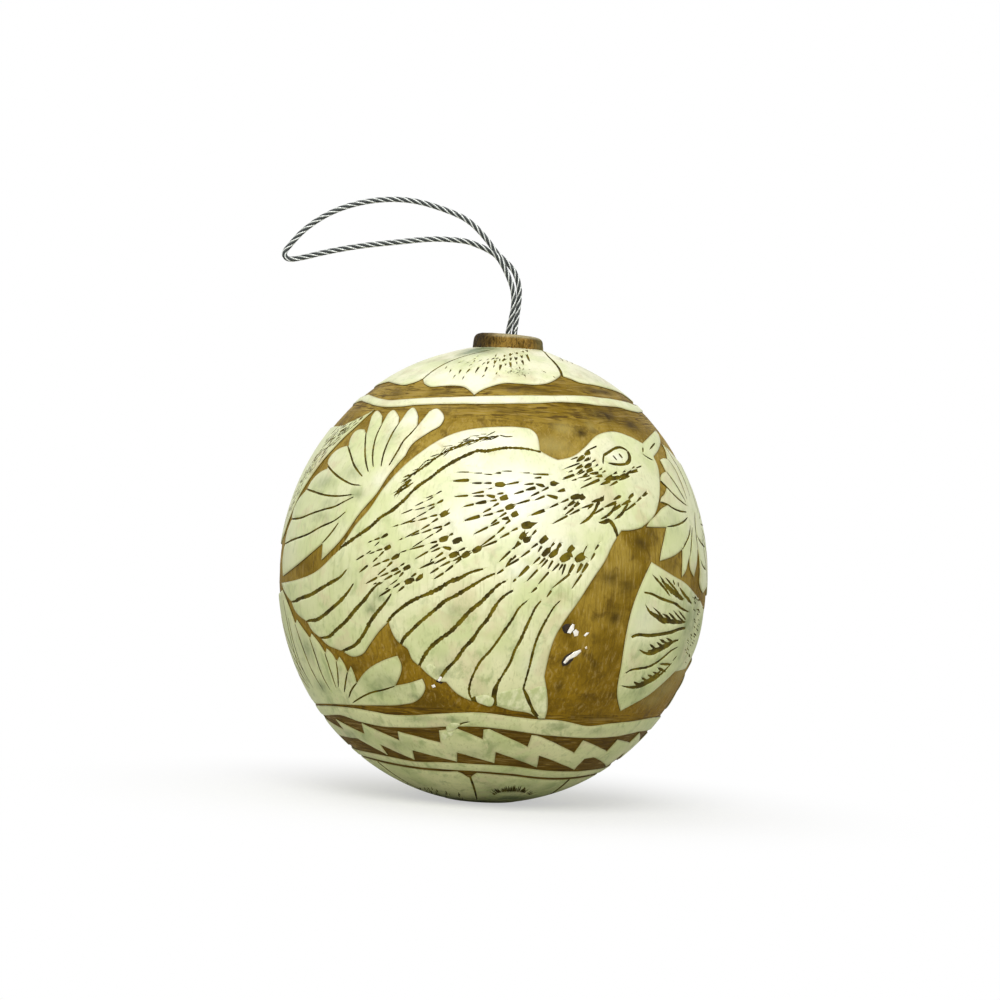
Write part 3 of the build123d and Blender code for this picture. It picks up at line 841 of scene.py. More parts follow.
def carve(node, outline, cuts=(), turn=0.0, spacing=0.95, name=None, lift=0.0, foot=0.57, stain=None):
    """An island of rind with its cuts, wrapped round the gourd, in place of a plain node."""
    outline = np.asarray(outline, float)
    following = np.roll(outline, -1, axis=0)
    if (outline[:, 0] * following[:, 1] - following[:, 0] * outline[:, 1]).sum() < 0:
        outline = outline[::-1]
    places, triangles, centres = triangulated(outline, cuts, free_points(outline, cuts, spacing))
    depth, _ = depth_of_cuts(places, cuts)
    in_cut = depth_of_cuts(centres, cuts)[1] > 0.02
    triangles, joined = welded(places, triangles, outline[:, 0].min(), outline[:, 0].max())
    rim = open_edges(triangles)
    push, on_rim = outward(places, rim)
    skin = wrapped(places[:, 0], places[:, 1], 0.0)
    swell = np.array([noise.noise(Vector(place) * 140) for place in skin])
    away = RADIUS * np.cos(places[:, 1] / ARC)
    collar = np.clip((COLLAR_REACH - away) / COLLAR_RUN, 0, 1) * (places[:, 1] > 0)
    collar = collar * (0.30 + 0.12 * np.sin(places[:, 0] / RADIUS))
    top = lift + collar - SWELL + SWELL * swell - np.where(on_rim, RIM_DROP, 0.0) - depth
    turn_by = math.radians(turn) * RADIUS
    upper = wrapped(places[:, 0] + turn_by, places[:, 1], top)
    under = places + push * WALL_LEAN
    lower = wrapped(under[:, 0] + turn_by, under[:, 1], lift - foot)
    count = len(places)
    faces = [tuple(face) for face in triangles] + [tuple(face[::-1] + count) for face in triangles]
    kinds = [1 if value else 0 for value in in_cut] + [2] * len(triangles)
    for first, last in rim:
        faces.append((last, first, first + count, last + count))
        kinds.append(2)
    mesh = bpy.data.meshes.new(name or node)
    mesh.from_pydata([*map(tuple, upper), *map(tuple, lower)], [], faces)
    for material in (stain or rind, incised, sides):
        mesh.materials.append(material)
    mesh.polygons.foreach_set("material_index", kinds)
    near = np.clip(1 - rim_distance(outline, places) / 0.9, 0, 1)
    stories = (("edge", near), ("smudge", clouded(places, RIND_CLOUDS)), ("pale", clouded(places, PAINTED_HIGHLIGHT_AND_PALE)))
    for title, values in stories:
        store(mesh, title, np.concatenate([values, values]))
    if joined:
        shape = bmesh.new()
        shape.from_mesh(mesh)
        loose = [vertex for vertex in shape.verts if not vertex.link_faces]
        bmesh.ops.delete(shape, geom=loose, context="VERTS")
        shape.to_mesh(mesh)
        shape.free()
    piece = bpy.data.objects.new((name or node) + "_carved", mesh)
    bpy.context.collection.objects.link(piece)
    smoothed(piece, 48)
    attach(piece, "gourd")
    if name is None:
        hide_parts(node)
    print(piece.name, len(mesh.polygons), "faces,", len(cuts), "cuts")
    return piece


def drawn(stretches):
    """A closed outline on the skin from stretches of pixels that run on into each other."""
    line = []
    for number, stretch in enumerate(stretches):
        following = stretches[(number + 1) % len(stretches)]
        hidden = stretch and stretch[0] == "beside"
        if hidden:
            places = eased([beside(*place) for place in stretch[1:]], 0.6)
            line.append(places[:-1] if following[0] == "beside" else places)
            continue
        places = list(stretch)
        if following[0] != "beside" and following[0] != places[-1]:
            places.append(following[0])
        flat = np.array([spot(*place) for place in eased(places)])
        line.append(flat if following[0] == "beside" else flat[:-1])
    return np.concatenate(line)


print("tools ready")

# %% [markdown]
# ## The bird
# The bird fills the front: a striped wing strip over its back, rows of punched dashes for
# the small feathers, long cut feathers below them and a round-eyed head at the right. The
# outline and the cuts are drawn over the photograph, in its pixels.

# %% Bird outline and long cuts
BIRD = [
    [(281, 583), (295, 580), (313, 573), (331, 557)],
    [(331, 557), (345, 540), (355, 525), (368, 510), (383, 488), (405, 464), (420, 452),
     (440, 439), (460, 431), (485, 427), (500, 426.3), (520, 426.8), (531, 428.8), (537, 434.5), (539, 441),
     (540, 450)],
    [(540, 450), (550, 456), (558, 459.5)],
    [(558, 459.5), (575, 455), (585, 447), (598, 434.5), (612, 431), (630, 436), (643, 443)],
    [(643, 443), (650, 436), (656, 430)],
    [(656, 430), (661, 440), (660, 447), (654, 456.5)],
    [(654, 456.5), (658, 465), (660.5, 485), (659, 503), (655, 515), (642, 527.5)],
    [(642, 527.5), (632, 530), (622, 530.5)],
    [(622, 530.5), (613, 545), (606, 560), (594, 578), (580, 600), (563, 624), (555.5, 637),
     (550.5, 651), (547, 665), (544.6, 677)],
    [(544.6, 677), (546.8, 690), (548, 704), (547, 713), (545, 719)],
    [(545, 719), (538.5, 719), (531, 714.5), (510, 710.5), (497, 706.5)],
    [(497, 706.5), (478, 703.5), (469, 700.5), (457, 694), (446, 682.5)],
    [(446, 682.5), (437, 681), (428, 675), (420, 667)],
    [(420, 667), (412, 660), (406, 648), (401, 645)],
    [(401, 645), (396, 640), (388, 622)],
    [(388, 622), (380, 630), (369, 645), (362.5, 654), (353, 657), (343, 652)],
    [(343, 652), (335, 649), (328, 646), (320, 638)],
    [(320, 638), (311, 630), (307, 622)],
    [(307, 622), (295, 612), (291, 602)],
    [(291, 602), (284, 592), (281, 583)],
]
bird_cuts = [
    gouge([(541, 452), (525, 448.5), (515, 447.8), (505, 447.8), (497, 449), (485, 451), (478, 450.5),
           (470, 453.5),
           (460, 458), (450, 463.5), (440, 470), (430, 478), (420, 484.5), (411, 492.5), (405, 499),
           (400, 503.5),
           (391, 511), (381, 517), (370, 527), (360, 534), (350, 541), (340, 548), (329, 557)],
          3.5, 0.6, 0.9, 0.22, 0.6),
    gouge([(643, 447), (643, 452)], 2.2, 0.5, 0.5),
    gouge([(643, 454), (648, 457.5), (653, 460)], 1.8, 0.5, 0.4),
    gouge([(650, 449), (655, 443)], 2.0),
    gouge([(599, 522.5), (604, 522.2), (609, 520.5), (613, 524.5), (616, 531), (618, 538)], 4.2, 0.35, 0.7,
          0.22, 0.2),
    gouge([(609, 463), (614, 464), (620, 464.5), (626, 464)], 3.0, 0.5, 0.9),
    gouge([(626, 464), (629.5, 460), (629.6, 456), (627.5, 451)], 4.2, 0.7, 0.7),
    gouge([(627.5, 451), (624, 448.5), (619, 447.2), (614, 448.8), (609, 452), (604, 455)], 2.9, 0.8, 0.9,
          0.22, 0.2),
    gouge([(604, 455), (603.3, 458.5), (603.2, 464)], 2.0, 1.0, 0.2),
    gouge([(613, 455.5), (617, 460)], 1.9, 0.6, 0.5), gouge([(619, 453.5), (622.5, 458)], 2.4, 0.6, 0.5),
    gouge([(598, 505), (594.5, 511), (590, 517), (580, 524)], 3.0, 0.6, 0.25, 0.2, 0.3),
    gouge([(616, 504), (612, 511.5), (607, 516), (601, 519)], 2.8, 0.6, 0.25, 0.2, 0.3),
    gouge([(628.5, 503), (625, 509), (622, 513.5), (615, 519)], 3.0, 0.6, 0.25, 0.2, 0.3),
    gouge([(498, 435.5), (490, 437.5), (483, 437.2), (479, 439.6), (470, 441.5), (463, 444.5), (455, 448.5),
           (447, 451), (440, 455), (433, 460), (425, 465.5), (418, 471), (411, 475.5), (404, 481.5)],
          2.2, 0.5, 0.4, 0.16, 0.9),
    gouge([(394, 495.5), (400, 491), (407, 486.5), (413, 482.5)], 2.6, 0.3, 0.3, 0.16, 0.4),
    gouge([(399, 488.5), (405, 484), (411, 479.5)], 2.0, 0.4, 0.4, 0.14, 0.4),
    gouge([(513, 436), (506, 436.5), (500, 435)], 1.5, 0.3, 0.8, 0.12),
]
tail_grooves = [
    [(291, 602), (294, 601.5), (300, 598.5), (310, 595), (320, 589), (330, 583), (340, 577), (346, 570)],
    [(306, 622), (308, 621), (316, 620), (324, 615), (331, 609), (340, 601), (347, 593), (353, 584)],
    [(319, 638), (330, 636), (335, 631), (345, 622), (355, 610), (365, 599), (371, 591), (380, 582)],
    [(340, 652), (345, 650), (355, 645), (363, 635), (370, 622), (378, 611), (385, 603), (391, 594)],
]
for places in tail_grooves:
    bird_cuts.append(gouge(places, 3.9, 0.5, 0.4, 0.22, 0.4))
feather_grooves = [
    [(387, 623), (392, 616), (400, 609), (410, 602), (420, 597), (430, 593), (440, 588), (450, 581.5),
     (460, 578), (468, 573.5), (475, 571), (483, 569)],
    [(400, 647), (404, 638), (410, 632), (418, 624), (425, 618), (437, 608), (445, 601), (455, 596),
     (465, 590), (475, 584), (485, 578), (495, 573.5)],
    [(418, 669), (421, 662), (430, 648), (439, 640), (450, 632), (460, 622), (470, 611), (480, 603),
     (490, 593), (500, 584), (506, 581)],
    [(438, 682), (447, 669), (455, 661), (465, 647), (472, 640), (480, 628), (487, 620), (493, 610),
     (500, 600), (507, 594), (513, 590.5)],
    [(475, 704), (469, 692), (470, 684), (475, 671), (480, 662), (490, 651), (499, 639), (505, 630),
     (512, 620), (520, 607), (527, 601)],
    [(495, 707), (494, 694), (498, 683), (504, 673), (510, 663), (515, 650), (521, 639), (525, 630),
     (531, 617), (536, 607), (541, 601)],
    [(538, 719), (528, 705), (523.5, 689), (525, 683), (530, 665), (533, 652), (537, 639), (541, 630),
     (548, 617), (555, 606), (560, 601)],
]
for places, width in zip(feather_grooves, (3.5, 3.5, 3.6, 3.5, 2.6, 2.9, 2.4)):
    bird_cuts.append(gouge(places, width, 0.85, 0.5, 0.22, 0.6))
bird_cuts += [gouge([(474, 697), (477, 704)], 5.0, 0.5, 0.9),
              gouge([(497, 684), (494, 697), (495, 706)], 5.0, 0.4, 0.9),
              gouge([(523.5, 689), (527, 697), (533, 711), (538, 717)], 4.0, 0.5, 0.8)]
print("long cuts", len(bird_cuts))

# %% [markdown]
# Each punched mark is one row: where its fat end is, where its thin end is and how wide it
# is. The rows fan out over the wing, so they are listed in strings from the
# shoulder down, as the carver punched them.

# %% Punched feathers
PUNCHED = {
    5.6: [(504, 484.4, 495, 484.5), (556, 483, 550.5, 484), (508, 496.5, 500, 499),
          (513.5, 505.5, 505.5, 508.5), (518, 512.5, 511.5, 516), (447.5, 512, 440, 516),
          (447, 538, 439, 540.5), (459.5, 539.5, 452.5, 542.5), (457, 553.5, 449, 556.5),
          (469, 552.5, 462, 557), (480.5, 547.5, 472.5, 552), (525.5, 533, 520, 539),
          (529.5, 538.5, 523.5, 541.5), (547.5, 536.5, 540, 543), (549.5, 549, 542.5, 556),
          (557, 551, 549.5, 557), (574, 546, 568, 552), (580, 495.8, 571, 498),
          (584.5, 495, 580.5, 499), (412, 580, 404.5, 583)],
    7.6: [(531.5, 524.5, 521.5, 526), (569.5, 555, 560.5, 560.5), (584.5, 555, 575.5, 560.5)],
    3.6: [(469, 480, 453, 481), (536, 487.5, 526, 490), (486.5, 501.5, 475.5, 503.5),
          (480, 516, 464.5, 520.5), (545, 510, 531.5, 515), (529, 566, 518.5, 577),
          (588, 563, 582, 573), (544, 486, 536, 484), (495, 497, 486.5, 495), (509, 518, 502, 519),
          (451, 549, 442.5, 547), (558, 498, 547, 495), (582.5, 563.5, 577, 573), (574, 564, 568, 575),
          (565.5, 489.5, 558, 491.5), (575, 501, 568, 506), (579.5, 502, 574, 507),
          (561, 543.5, 557, 549)],
    2.3: [(484, 491.5, 472, 493.5), (549, 487, 542, 491), (524, 491, 514, 494),
          (468, 495.5, 454.5, 496.5), (484, 495.8, 473, 496), (503.5, 493, 497, 494),
          (474, 504, 463.5, 506.5), (497, 500, 490, 501), (499, 503, 493, 506.5),
          (491, 508.5, 483, 512.5), (504, 510, 496.5, 512), (493, 513.5, 483, 516),
          (506.5, 512.5, 499.5, 517), (510.5, 520, 505.5, 524), (499.5, 522, 490.5, 526),
          (497, 519.5, 491, 524), (488, 527, 474, 534), (518, 528, 511.5, 531), (509.5, 533, 500, 538),
          (497, 541, 482, 547), (504.5, 527, 497, 533.5), (495, 535.5, 481.5, 545.5),
          (437, 515, 430, 516.5), (438, 518.5, 431.5, 522.5), (450, 522.5, 444, 526),
          (442, 526.5, 433, 528.5), (443, 500, 437, 503), (437, 541.5, 430, 543),
          (453, 533.5, 449, 535.5), (438, 544.5, 430, 549), (465, 548, 458.5, 551),
          (443, 552.5, 435, 558), (446, 557.5, 434, 564), (450, 561.5, 440, 566.5),
          (461.5, 556.5, 453, 561), (461, 558.5, 455.5, 563.5), (438.5, 568, 430, 573.5),
          (453, 565.5, 445, 572), (443.5, 573, 434, 579), (510.5, 551, 499.5, 561.5),
          (519, 559, 505.5, 567), (512, 558, 505.5, 567), (516, 555.5, 512, 560), (521, 543, 512, 549),
          (519, 541, 514, 549), (530, 550.5, 521, 557), (538, 543.5, 531.5, 548),
          (536.5, 530, 532, 535), (542, 546, 538, 552), (554.5, 542.5, 551, 547),
          (561, 543, 556.5, 549), (595, 553, 591, 560), (599, 544.5, 595, 550),
          (540.5, 557, 533.5, 563.5), (545.5, 558, 539.5, 564), (548, 559.5, 541.5, 567),
          (553, 560.5, 548, 569), (559.5, 563.5, 552.5, 571), (563, 564, 559, 570),
          (565.5, 564, 562, 575), (538, 569.5, 527, 581), (516, 579, 513, 582),
          (503.5, 569.5, 497, 574), (549, 572, 538.5, 584), (537, 587.5, 531.5, 592.5),
          (570, 574, 553, 587.5), (551.5, 590.5, 547, 597), (582, 574, 572, 588.5),
          (574.5, 474.5, 563.5, 478), (600, 480, 582.5, 487), (569, 499, 561, 502.5),
          (558.5, 503.5, 550, 507.5), (567, 507, 564, 509.5), (574, 508, 565.5, 514.5),
          (580, 509.5, 570, 514.5), (539.5, 492, 531, 496), (568, 515.5, 553, 523.5),
          (604, 508, 593, 514.5), (530, 500, 516, 504), (545, 496, 535, 500), (549, 474.5, 533, 474),
          (541.7, 477.3, 534.5, 478), (501, 472.8, 495.5, 473), (481.7, 483, 472, 483),
          (491.7, 483, 484, 483), (519, 482, 506, 484.5), (534, 483.5, 524.5, 484.5)],
    1.4: [(469, 472, 456.7, 472), (482, 473, 474, 473), (492, 474.5, 484, 474), (512, 471, 502, 471),
          (530, 472.8, 523, 472.8), (492, 488, 488, 489), (441.5, 491, 437, 493), (587, 546, 583, 553)],
}
NAPE = {
    4.4: [(590, 452, 585, 454.5), (584, 456, 577, 461.5), (591, 464, 585, 467.5),
          (593, 468.5, 587, 471.5), (620, 477, 606, 480), (603.5, 498, 599.5, 500.5)],
    3.4: [(590, 458, 584.5, 461), (583, 465, 576, 469), (599, 472.8, 590, 473.8),
          (603, 475.5, 596, 476.5), (613, 475.5, 605, 479.5), (626, 474, 618, 478),
          (629.5, 475, 620, 480), (610, 481, 601, 484.5), (638, 470, 629, 473), (600, 499.5, 592, 502),
          (599.5, 502, 595.5, 507), (617, 502, 605, 507), (621, 505, 611, 512),
          (620.5, 496, 614, 499.5), (633.5, 494, 629, 498), (631, 500, 622, 505), (647.5, 492, 643, 496)],
    2.4: [(583, 469, 577, 473.5), (588, 473, 583, 476), (596, 481, 581, 488), (617.5, 472, 613.5, 474),
          (618, 481, 610.5, 485.5), (632, 470.5, 624, 475.5), (594, 504, 582, 508),
          (592, 505, 588, 509), (636, 503, 626, 510.5), (641.5, 497, 637, 501.5), (600, 479, 590, 483)],
    1.8: [(597, 446, 586, 451), (578, 457, 571, 459.5), (580, 463, 565, 468.5), (596, 459.5, 592, 462),
          (602.5, 468, 599.5, 470), (606, 470.5, 602.5, 472.5), (573, 470.5, 569, 472),
          (585, 471, 578, 474.5), (590, 475.5, 578, 478), (575, 475, 563, 479.5),
          (577, 479, 572, 480.5), (592, 477.5, 584, 481), (626, 470.5, 623.5, 472),
          (635, 466.5, 632.5, 468), (641.5, 466, 636, 468), (598.5, 464, 596, 466)],
}
LEFT_CLUSTER = {
    4.4: [(390.5, 546, 384, 549.5), (398.5, 555, 391, 559.5), (410, 566, 403, 569.5),
          (422, 575.5, 415.5, 581)],
    3.2: [(387.5, 534, 381, 538), (398, 568.5, 390.5, 571.5)],
    2.4: [(389, 559.5, 382, 562), (392, 562, 386.5, 567), (400.5, 571, 393.5, 575),
          (403, 572.5, 399, 577), (367.5, 565.5, 359, 572.5), (377, 577.5, 366, 583.5),
          (392, 575.5, 384, 580), (404, 586.5, 398, 591.5), (390, 589.5, 379, 596.5),
          (416, 573.5, 411, 577), (434, 562, 419.5, 568.5), (442.5, 500.5, 437, 503.5)],
    2.0: [(379.5, 538, 374, 540), (382, 549, 376, 551), (383.5, 551.5, 378.5, 556.5),
          (363.5, 555.5, 356, 560), (377, 558, 372.5, 562), (380, 563, 372.5, 566.5),
          (404, 563.5, 400, 566), (385.5, 568.5, 377.5, 575), (388, 573, 380, 576.5),
          (399.5, 583.5, 393, 588), (434.5, 504, 427, 506.5), (434.5, 506.5, 428.5, 510),
          (412, 520.5, 400.5, 524.5), (427, 518, 418, 520.5), (429.5, 524.5, 421, 529.5),
          (431, 529.5, 421.5, 533), (419, 530.5, 405, 537.5), (442, 528.5, 435.5, 533),
          (440, 548, 431, 552), (424, 545.5, 409.5, 549.5), (428, 551.5, 415, 559)],
    1.5: [(371.5, 541, 368, 542.5), (379, 542, 374.5, 546), (374, 552, 369, 554),
          (370.5, 551, 366, 554), (376, 583, 373, 584.5), (397, 580, 390, 585), (382, 582.5, 378, 585),
          (388, 588, 385, 589.5), (440.5, 491.5, 436, 494), (432.5, 495.5, 426, 498),
          (433, 497, 427, 500.5), (423, 502, 415, 506), (424.5, 507.5, 415, 510),
          (412, 509.5, 401, 514), (426, 512, 416.5, 517), (415, 518, 409, 521.5),
          (415, 521, 410, 522.5), (398, 525, 393.5, 526.5), (419, 533, 411, 536), (433, 534, 425, 539),
          (402, 538.5, 399, 540), (422, 541, 412, 547.5), (406, 550.5, 400, 552.5), (432, 559, 430, 562)],
}
for table in (PUNCHED, NAPE, LEFT_CLUSTER):
    for width, rows in table.items():
        bird_cuts += [dash(*row, width) for row in rows]
print("cuts on the bird", len(bird_cuts))

# %% [markdown]
# A shaft of short slanting ticks runs along the wing strip. They are too many and too alike
# to draw one by one, so they are scattered along the shaft's line, with a fixed seed.


# %% Slanting ticks
def ticks_along(places, count, length, width, slant, spread, seed, fade=0.0):
    """Short ticks scattered along a line of pixels, slanting off it by turns."""
    chance = random.Random(seed)
    line = eased(places, 1.0)
    cuts = []
    for number in range(count):
        at = chance.random() * (len(line) - 2)
        point = line[int(at)]
        run = line[int(at) + 1] - point
        heading = math.atan2(run[1], run[0]) + slant * chance.uniform(0.4, 1.3) * (1 if number % 2 else -1)
        reach = length * chance.uniform(0.5, 1.3)
        off = chance.gauss(0, spread)
        x, y = point[0] - run[1] * off, point[1] + run[0] * off
        if chance.random() < fade:
            continue
        cuts.append(dash(x, y, x + reach * math.cos(heading), y + reach * math.sin(heading),
                         width * chance.uniform(0.6, 1.2)))
    return cuts


bird_cuts += ticks_along([(500, 435), (490, 437), (470, 441), (450, 449)], 34, 10, 1.2, 0.24, 1.6, 11)
bird_cuts += ticks_along([(450, 449), (433, 459.5), (418, 470), (404, 481)], 30, 9, 1.2, 0.24, 1.4, 12)
bird_cuts += ticks_along([(414, 477), (405, 484), (398, 491)], 12, 8, 1.2, 0.22, 2.0, 13)
carve("front_bird", drawn(BIRD), bird_cuts)

# %% [markdown]
# ## Leaf fans and striped leaf
# The fans are round-ended leaves that spring from one point, each parted from the next by a
# single cut. The outline follows the leaf ends, and the cuts run on from the valleys.

# %% Leaves round the side
def leaves(valleys, tips):
    """Hidden leaf ends: each runs from one valley over its tip to the next valley."""
    ends = []
    for first, tip, last in zip(valleys, tips, valleys[1:]):
        shoulders = [tuple(0.36 * low + 0.64 * high + swell for low, high, swell in zip(valley, tip, bulge))
                     for valley, bulge in ((first, (0.4, 1.5)), (last, (0.4, -1.5)))]
        ends.append(["beside", first, shoulders[0], tip, shoulders[1], last])
    return ends


def veins(valleys, hub, width=2.0):
    """A cut from each valley towards the hub, a little bowed."""
    cuts = []
    end = np.array(beside(*hub))
    for valley in valleys:
        start = np.array(beside(*valley))
        run = end - start
        line = [start + run * share + np.array((-run[1], run[0])) * 0.08 * math.sin(math.pi * share)
                for share in np.linspace(0.02, 0.78, 14)]
        cuts.append(gouge(line, width, 0.6, 0.5, 0.2, 0.2, flat=True))
    return cuts


# %% [markdown]
# The upper fan stands behind the bird's back. A cut parts each leaf from the next, and the
# lowest leaves run out to the side of the gourd.

# %% Upper leaf fan
UPPER_FAN = [
    [(405, 455), (410, 446), (430, 431), (441, 424), (444, 417), (437, 408), (429, 411)],
    [(429, 411), (417, 426)],
    [(417, 426), (418, 416)],
    [(418, 416), (413, 407), (407, 411)],
    [(407, 411), (398, 424)],
    [(398, 424), (399, 417)],
    [(399, 417), (393, 409.5), (387, 414)],
    [(387, 414), (381, 425)],
    [(381, 425), (382, 416)],
    [(382, 416), (377, 410), (371, 416)],
    [(371, 416), (366, 434)],
    [(366, 434), (364, 429)],
    [(364, 429), (358, 429), (352, 434), (348, 445)],
    [(348, 445), (340, 447.5), (332, 453.5), (327.5, 460)],
    [(327.5, 460), (327, 468)],
    [(327, 468), (320, 471.5), (313, 478), (306.5, 489)],
    [(306.5, 489), (299, 497.5), (293, 510), (291, 520)],
    [(291, 520), (287.5, 529), (284, 546)],
    [(284, 546), (282, 561), (282.5, 576)],
    [(282.5, 576), (300, 562), (322, 543)],
    [(322, 543), (321, 560)],
    [(321, 560), (340, 540), (360, 512), (377, 492), (388, 475), (405, 455)],
]
fan_grooves = [
    [(418, 425), (410, 434), (404, 440), (398, 450), (389, 465)],
    [(399, 423), (393, 432), (388, 442), (384, 452), (382, 460), (381, 466)],
    [(382, 424), (377, 434), (374, 444), (372.5, 455), (373, 466)],
    [(366, 432), (365, 445), (365, 455), (366, 463), (368, 471)],
    [(347, 444), (350, 453), (354, 465), (362, 476)],
    [(324, 457), (328, 466), (335, 474), (345, 481), (353, 484.5), (359, 485)],
    [(304, 488), (312, 491), (325, 495), (338, 496), (351, 494.5)],
    [(353, 497), (345, 501), (333, 507), (325, 509), (310, 514), (300, 518), (289, 519)],
    [(345, 512), (335, 520), (320, 527), (308, 534), (290, 541), (283, 545)],
    [(338, 523), (330, 534), (322, 543)],
]
fan_cuts = [gouge(places, 2.1, 0.6, 0.6, 0.22, 0.25) for places in fan_grooves]
carve("front_upper_fan", drawn(UPPER_FAN), fan_cuts)

# %% [markdown]
# The lower fan lies under the tail. Its leaves in front are drawn, and those round the side,
# which the photograph hardly shows, come from their valleys and tips.

# %% Lower leaf fan
LOWER_FAN = [
    [(282, 590), (287, 603), (294.7, 624)],
    [(294.7, 624), (296, 619.5)],
    [(296, 619.5), (302.3, 628.5), (309.5, 638.5)],
    [(309.5, 638.5), (310.8, 633.5)],
    [(310.8, 633.5), (318, 642.5), (324.7, 653.5)],
    [(324.7, 653.5), (326, 648.5)],
    [(326, 648.5), (331, 653.5), (336, 661.7)],
    [(336, 661.7), (338.7, 657)],
    [(338.7, 657), (343.5, 664), (347.2, 673)],
    [(347.2, 673), (350.2, 666.5)],
    [(350.2, 666.5), (354, 675), (356.2, 683.5)],
    [(356.2, 683.5), (366, 671), (382, 661), (397, 656)],
    [(397, 656), (401, 665), (395, 686)],
    [(395, 686), (410, 683), (422, 679)],
    [(422, 679), (425, 688), (422, 696), (414, 702.5), (402, 705), (375, 705.8), (353, 705.4)],
    [(353, 705.4), (341, 704.9), (329, 704.3), (315, 704)],
]
LOWER_VALLEYS = [(-94, 700), (-95.5, 681), (-92, 662), (-88, 644), (-84, 628), (-80.5, 604)]
LOWER_TIPS = [(-99.5, 694), (-99, 672), (-96.5, 650), (-92.5, 630), (-86, 608)]
LOWER_FAN += leaves(LOWER_VALLEYS, LOWER_TIPS)
lower_fan_grooves = [
    [(283, 600), (289.5, 634), (298.5, 667), (307, 688)], [(288, 618), (294, 645), (302, 668), (313, 688)],
    [(294.7, 624), (302, 646), (312, 671), (323, 690)],
    [(309.5, 638.5), (315, 655), (322, 675), (330, 690)],
    [(324.7, 653.5), (330, 670), (336, 688)], [(336, 661.7), (337.6, 674), (338.2, 687)],
    [(347.2, 673), (345.4, 683), (344.2, 692.5)], [(356.2, 683.5), (351, 691), (348.7, 698)],
    [(394, 686.5), (383, 690), (372, 692.5), (361, 697.5), (352.5, 703)],
]
lower_fan_cuts = [gouge(places, 2.0, 0.6, 0.4, 0.2, 0.2) for places in lower_fan_grooves]
lower_fan_cuts += veins(LOWER_VALLEYS[1:-1], (-66, 706), 1.8)
carve("front_lower_fan", drawn(LOWER_FAN), lower_fan_cuts)

# %% [markdown]
# The right fan opens in front of the beak. Its hidden leaves are made in the same way.

# %% Right leaf fan
RIGHT_FAN = [
    [(662.5, 443.5), (665, 448), (667.6, 458.5)],
    [(667.6, 458.5), (664, 457.8), (660.6, 459.6)],
    [(660.6, 459.6), (663.5, 465), (666.5, 471.3)],
    [(666.5, 471.3), (663.5, 472.6), (661.4, 475.5), (661.2, 480.5)],
    [(661.2, 480.5), (667.2, 487)],
    [(667.2, 487), (665, 494), (661.5, 498), (661, 501.6)],
    [(661, 501.6), (668, 504.8)],
    [(668, 504.8), (662, 508.5), (657, 514.5), (650, 521.5), (647, 526.6)],
    [(647, 526.6), (658, 527.2), (667, 527.2)],
    [(667, 527.2), (664.5, 540), (661.8, 552), (660.5, 560.8)],
    [(660.5, 560.8), (668, 558.6), (676, 555), (683, 549)],
    [(683, 549), (683, 560), (682.6, 577)],
    [(682.6, 577), (686.5, 571), (688.4, 563), (690.2, 556)],
    [(690.2, 556), (691.2, 570), (694.5, 577)],
    [(694.5, 577), (697, 565), (698, 548)],
    [(698, 548), (699.6, 557), (700.4, 570), (701, 588), (703.5, 593)],
]
RIGHT_VALLEYS = [(82.5, 574), (86.5, 553), (89, 531), (90, 509), (89, 487), (86, 466), (81, 452)]
RIGHT_TIPS = [(86, 583), (92.5, 566), (96, 541), (97.5, 513), (96.5, 482), (92.5, 457)]
right_hidden = leaves(RIGHT_VALLEYS, RIGHT_TIPS)
right_grooves = [
    [(664, 445), (667, 449), (672, 457), (680, 470.5), (686, 484), (690, 496)],
    [(668.2, 459.2), (675, 469), (681, 482), (687, 499)],
    [(667, 472), (672, 478.5), (680, 491), (686, 502)],
    [(661.4, 481), (668, 488), (675, 495.5), (681, 501), (687, 505.5)],
    [(662, 502), (667, 504), (673, 508), (680, 511), (687, 512)],
    [(688, 517), (684, 521.5), (677, 525), (668, 526.5)],
    [(690.5, 525), (689.5, 535), (686, 543), (683, 549)],
    [(692.5, 527), (691.5, 545), (690.3, 556)],
    [(695, 512), (696, 530), (698, 548)],
    [(697.5, 536), (701, 542.5), (705, 547)], [(701, 560), (703, 566), (706, 570)],
]
right_cuts = [gouge(places, 2.0, 0.5, 0.5, 0.2, 0.2) for places in right_grooves]
side_cuts = veins(RIGHT_VALLEYS, (75.5, 509))
carve("right_fan", drawn(RIGHT_FAN + right_hidden), right_cuts + side_cuts)

# %% [markdown]
# The striped leaf has broad cuts with tufts of finer ones beside them, and a field of fine
# specks towards its stem, which are scattered with a fixed seed.

# %% Striped leaf
LEAF = [
    [(652, 562), (671, 574), (687, 584), (698, 597)],
    ["beside", (79, 596), (81, 628), (75, 656)],
    [(676, 671.6), (663, 684), (649, 695.6), (633, 705), (621, 711.5)],
    [(621, 711.5), (618, 700), (622, 664), (633, 608), (652, 562)],
]
leaf_cuts = [
    gouge([(645, 592.5), (652, 594), (660, 598), (668, 601), (676, 604), (681, 608), (689, 612)], 2.9, 0.6,
          0.4, 0.22, 0.3),
    gouge([(632, 637), (636, 635.3), (650, 635.5), (662, 634), (672, 632), (680, 629), (686, 628)], 3.7,
          0.8, 0.7, 0.22, 0.2),
    gouge([(626, 673), (630, 670.5), (640, 668.5), (648, 667), (656, 663), (664, 657), (671, 651),
           (678, 647)],
          2.8, 0.6, 0.4, 0.22, 0.3),
    gouge([(677, 656), (673, 661)], 1.8),
]
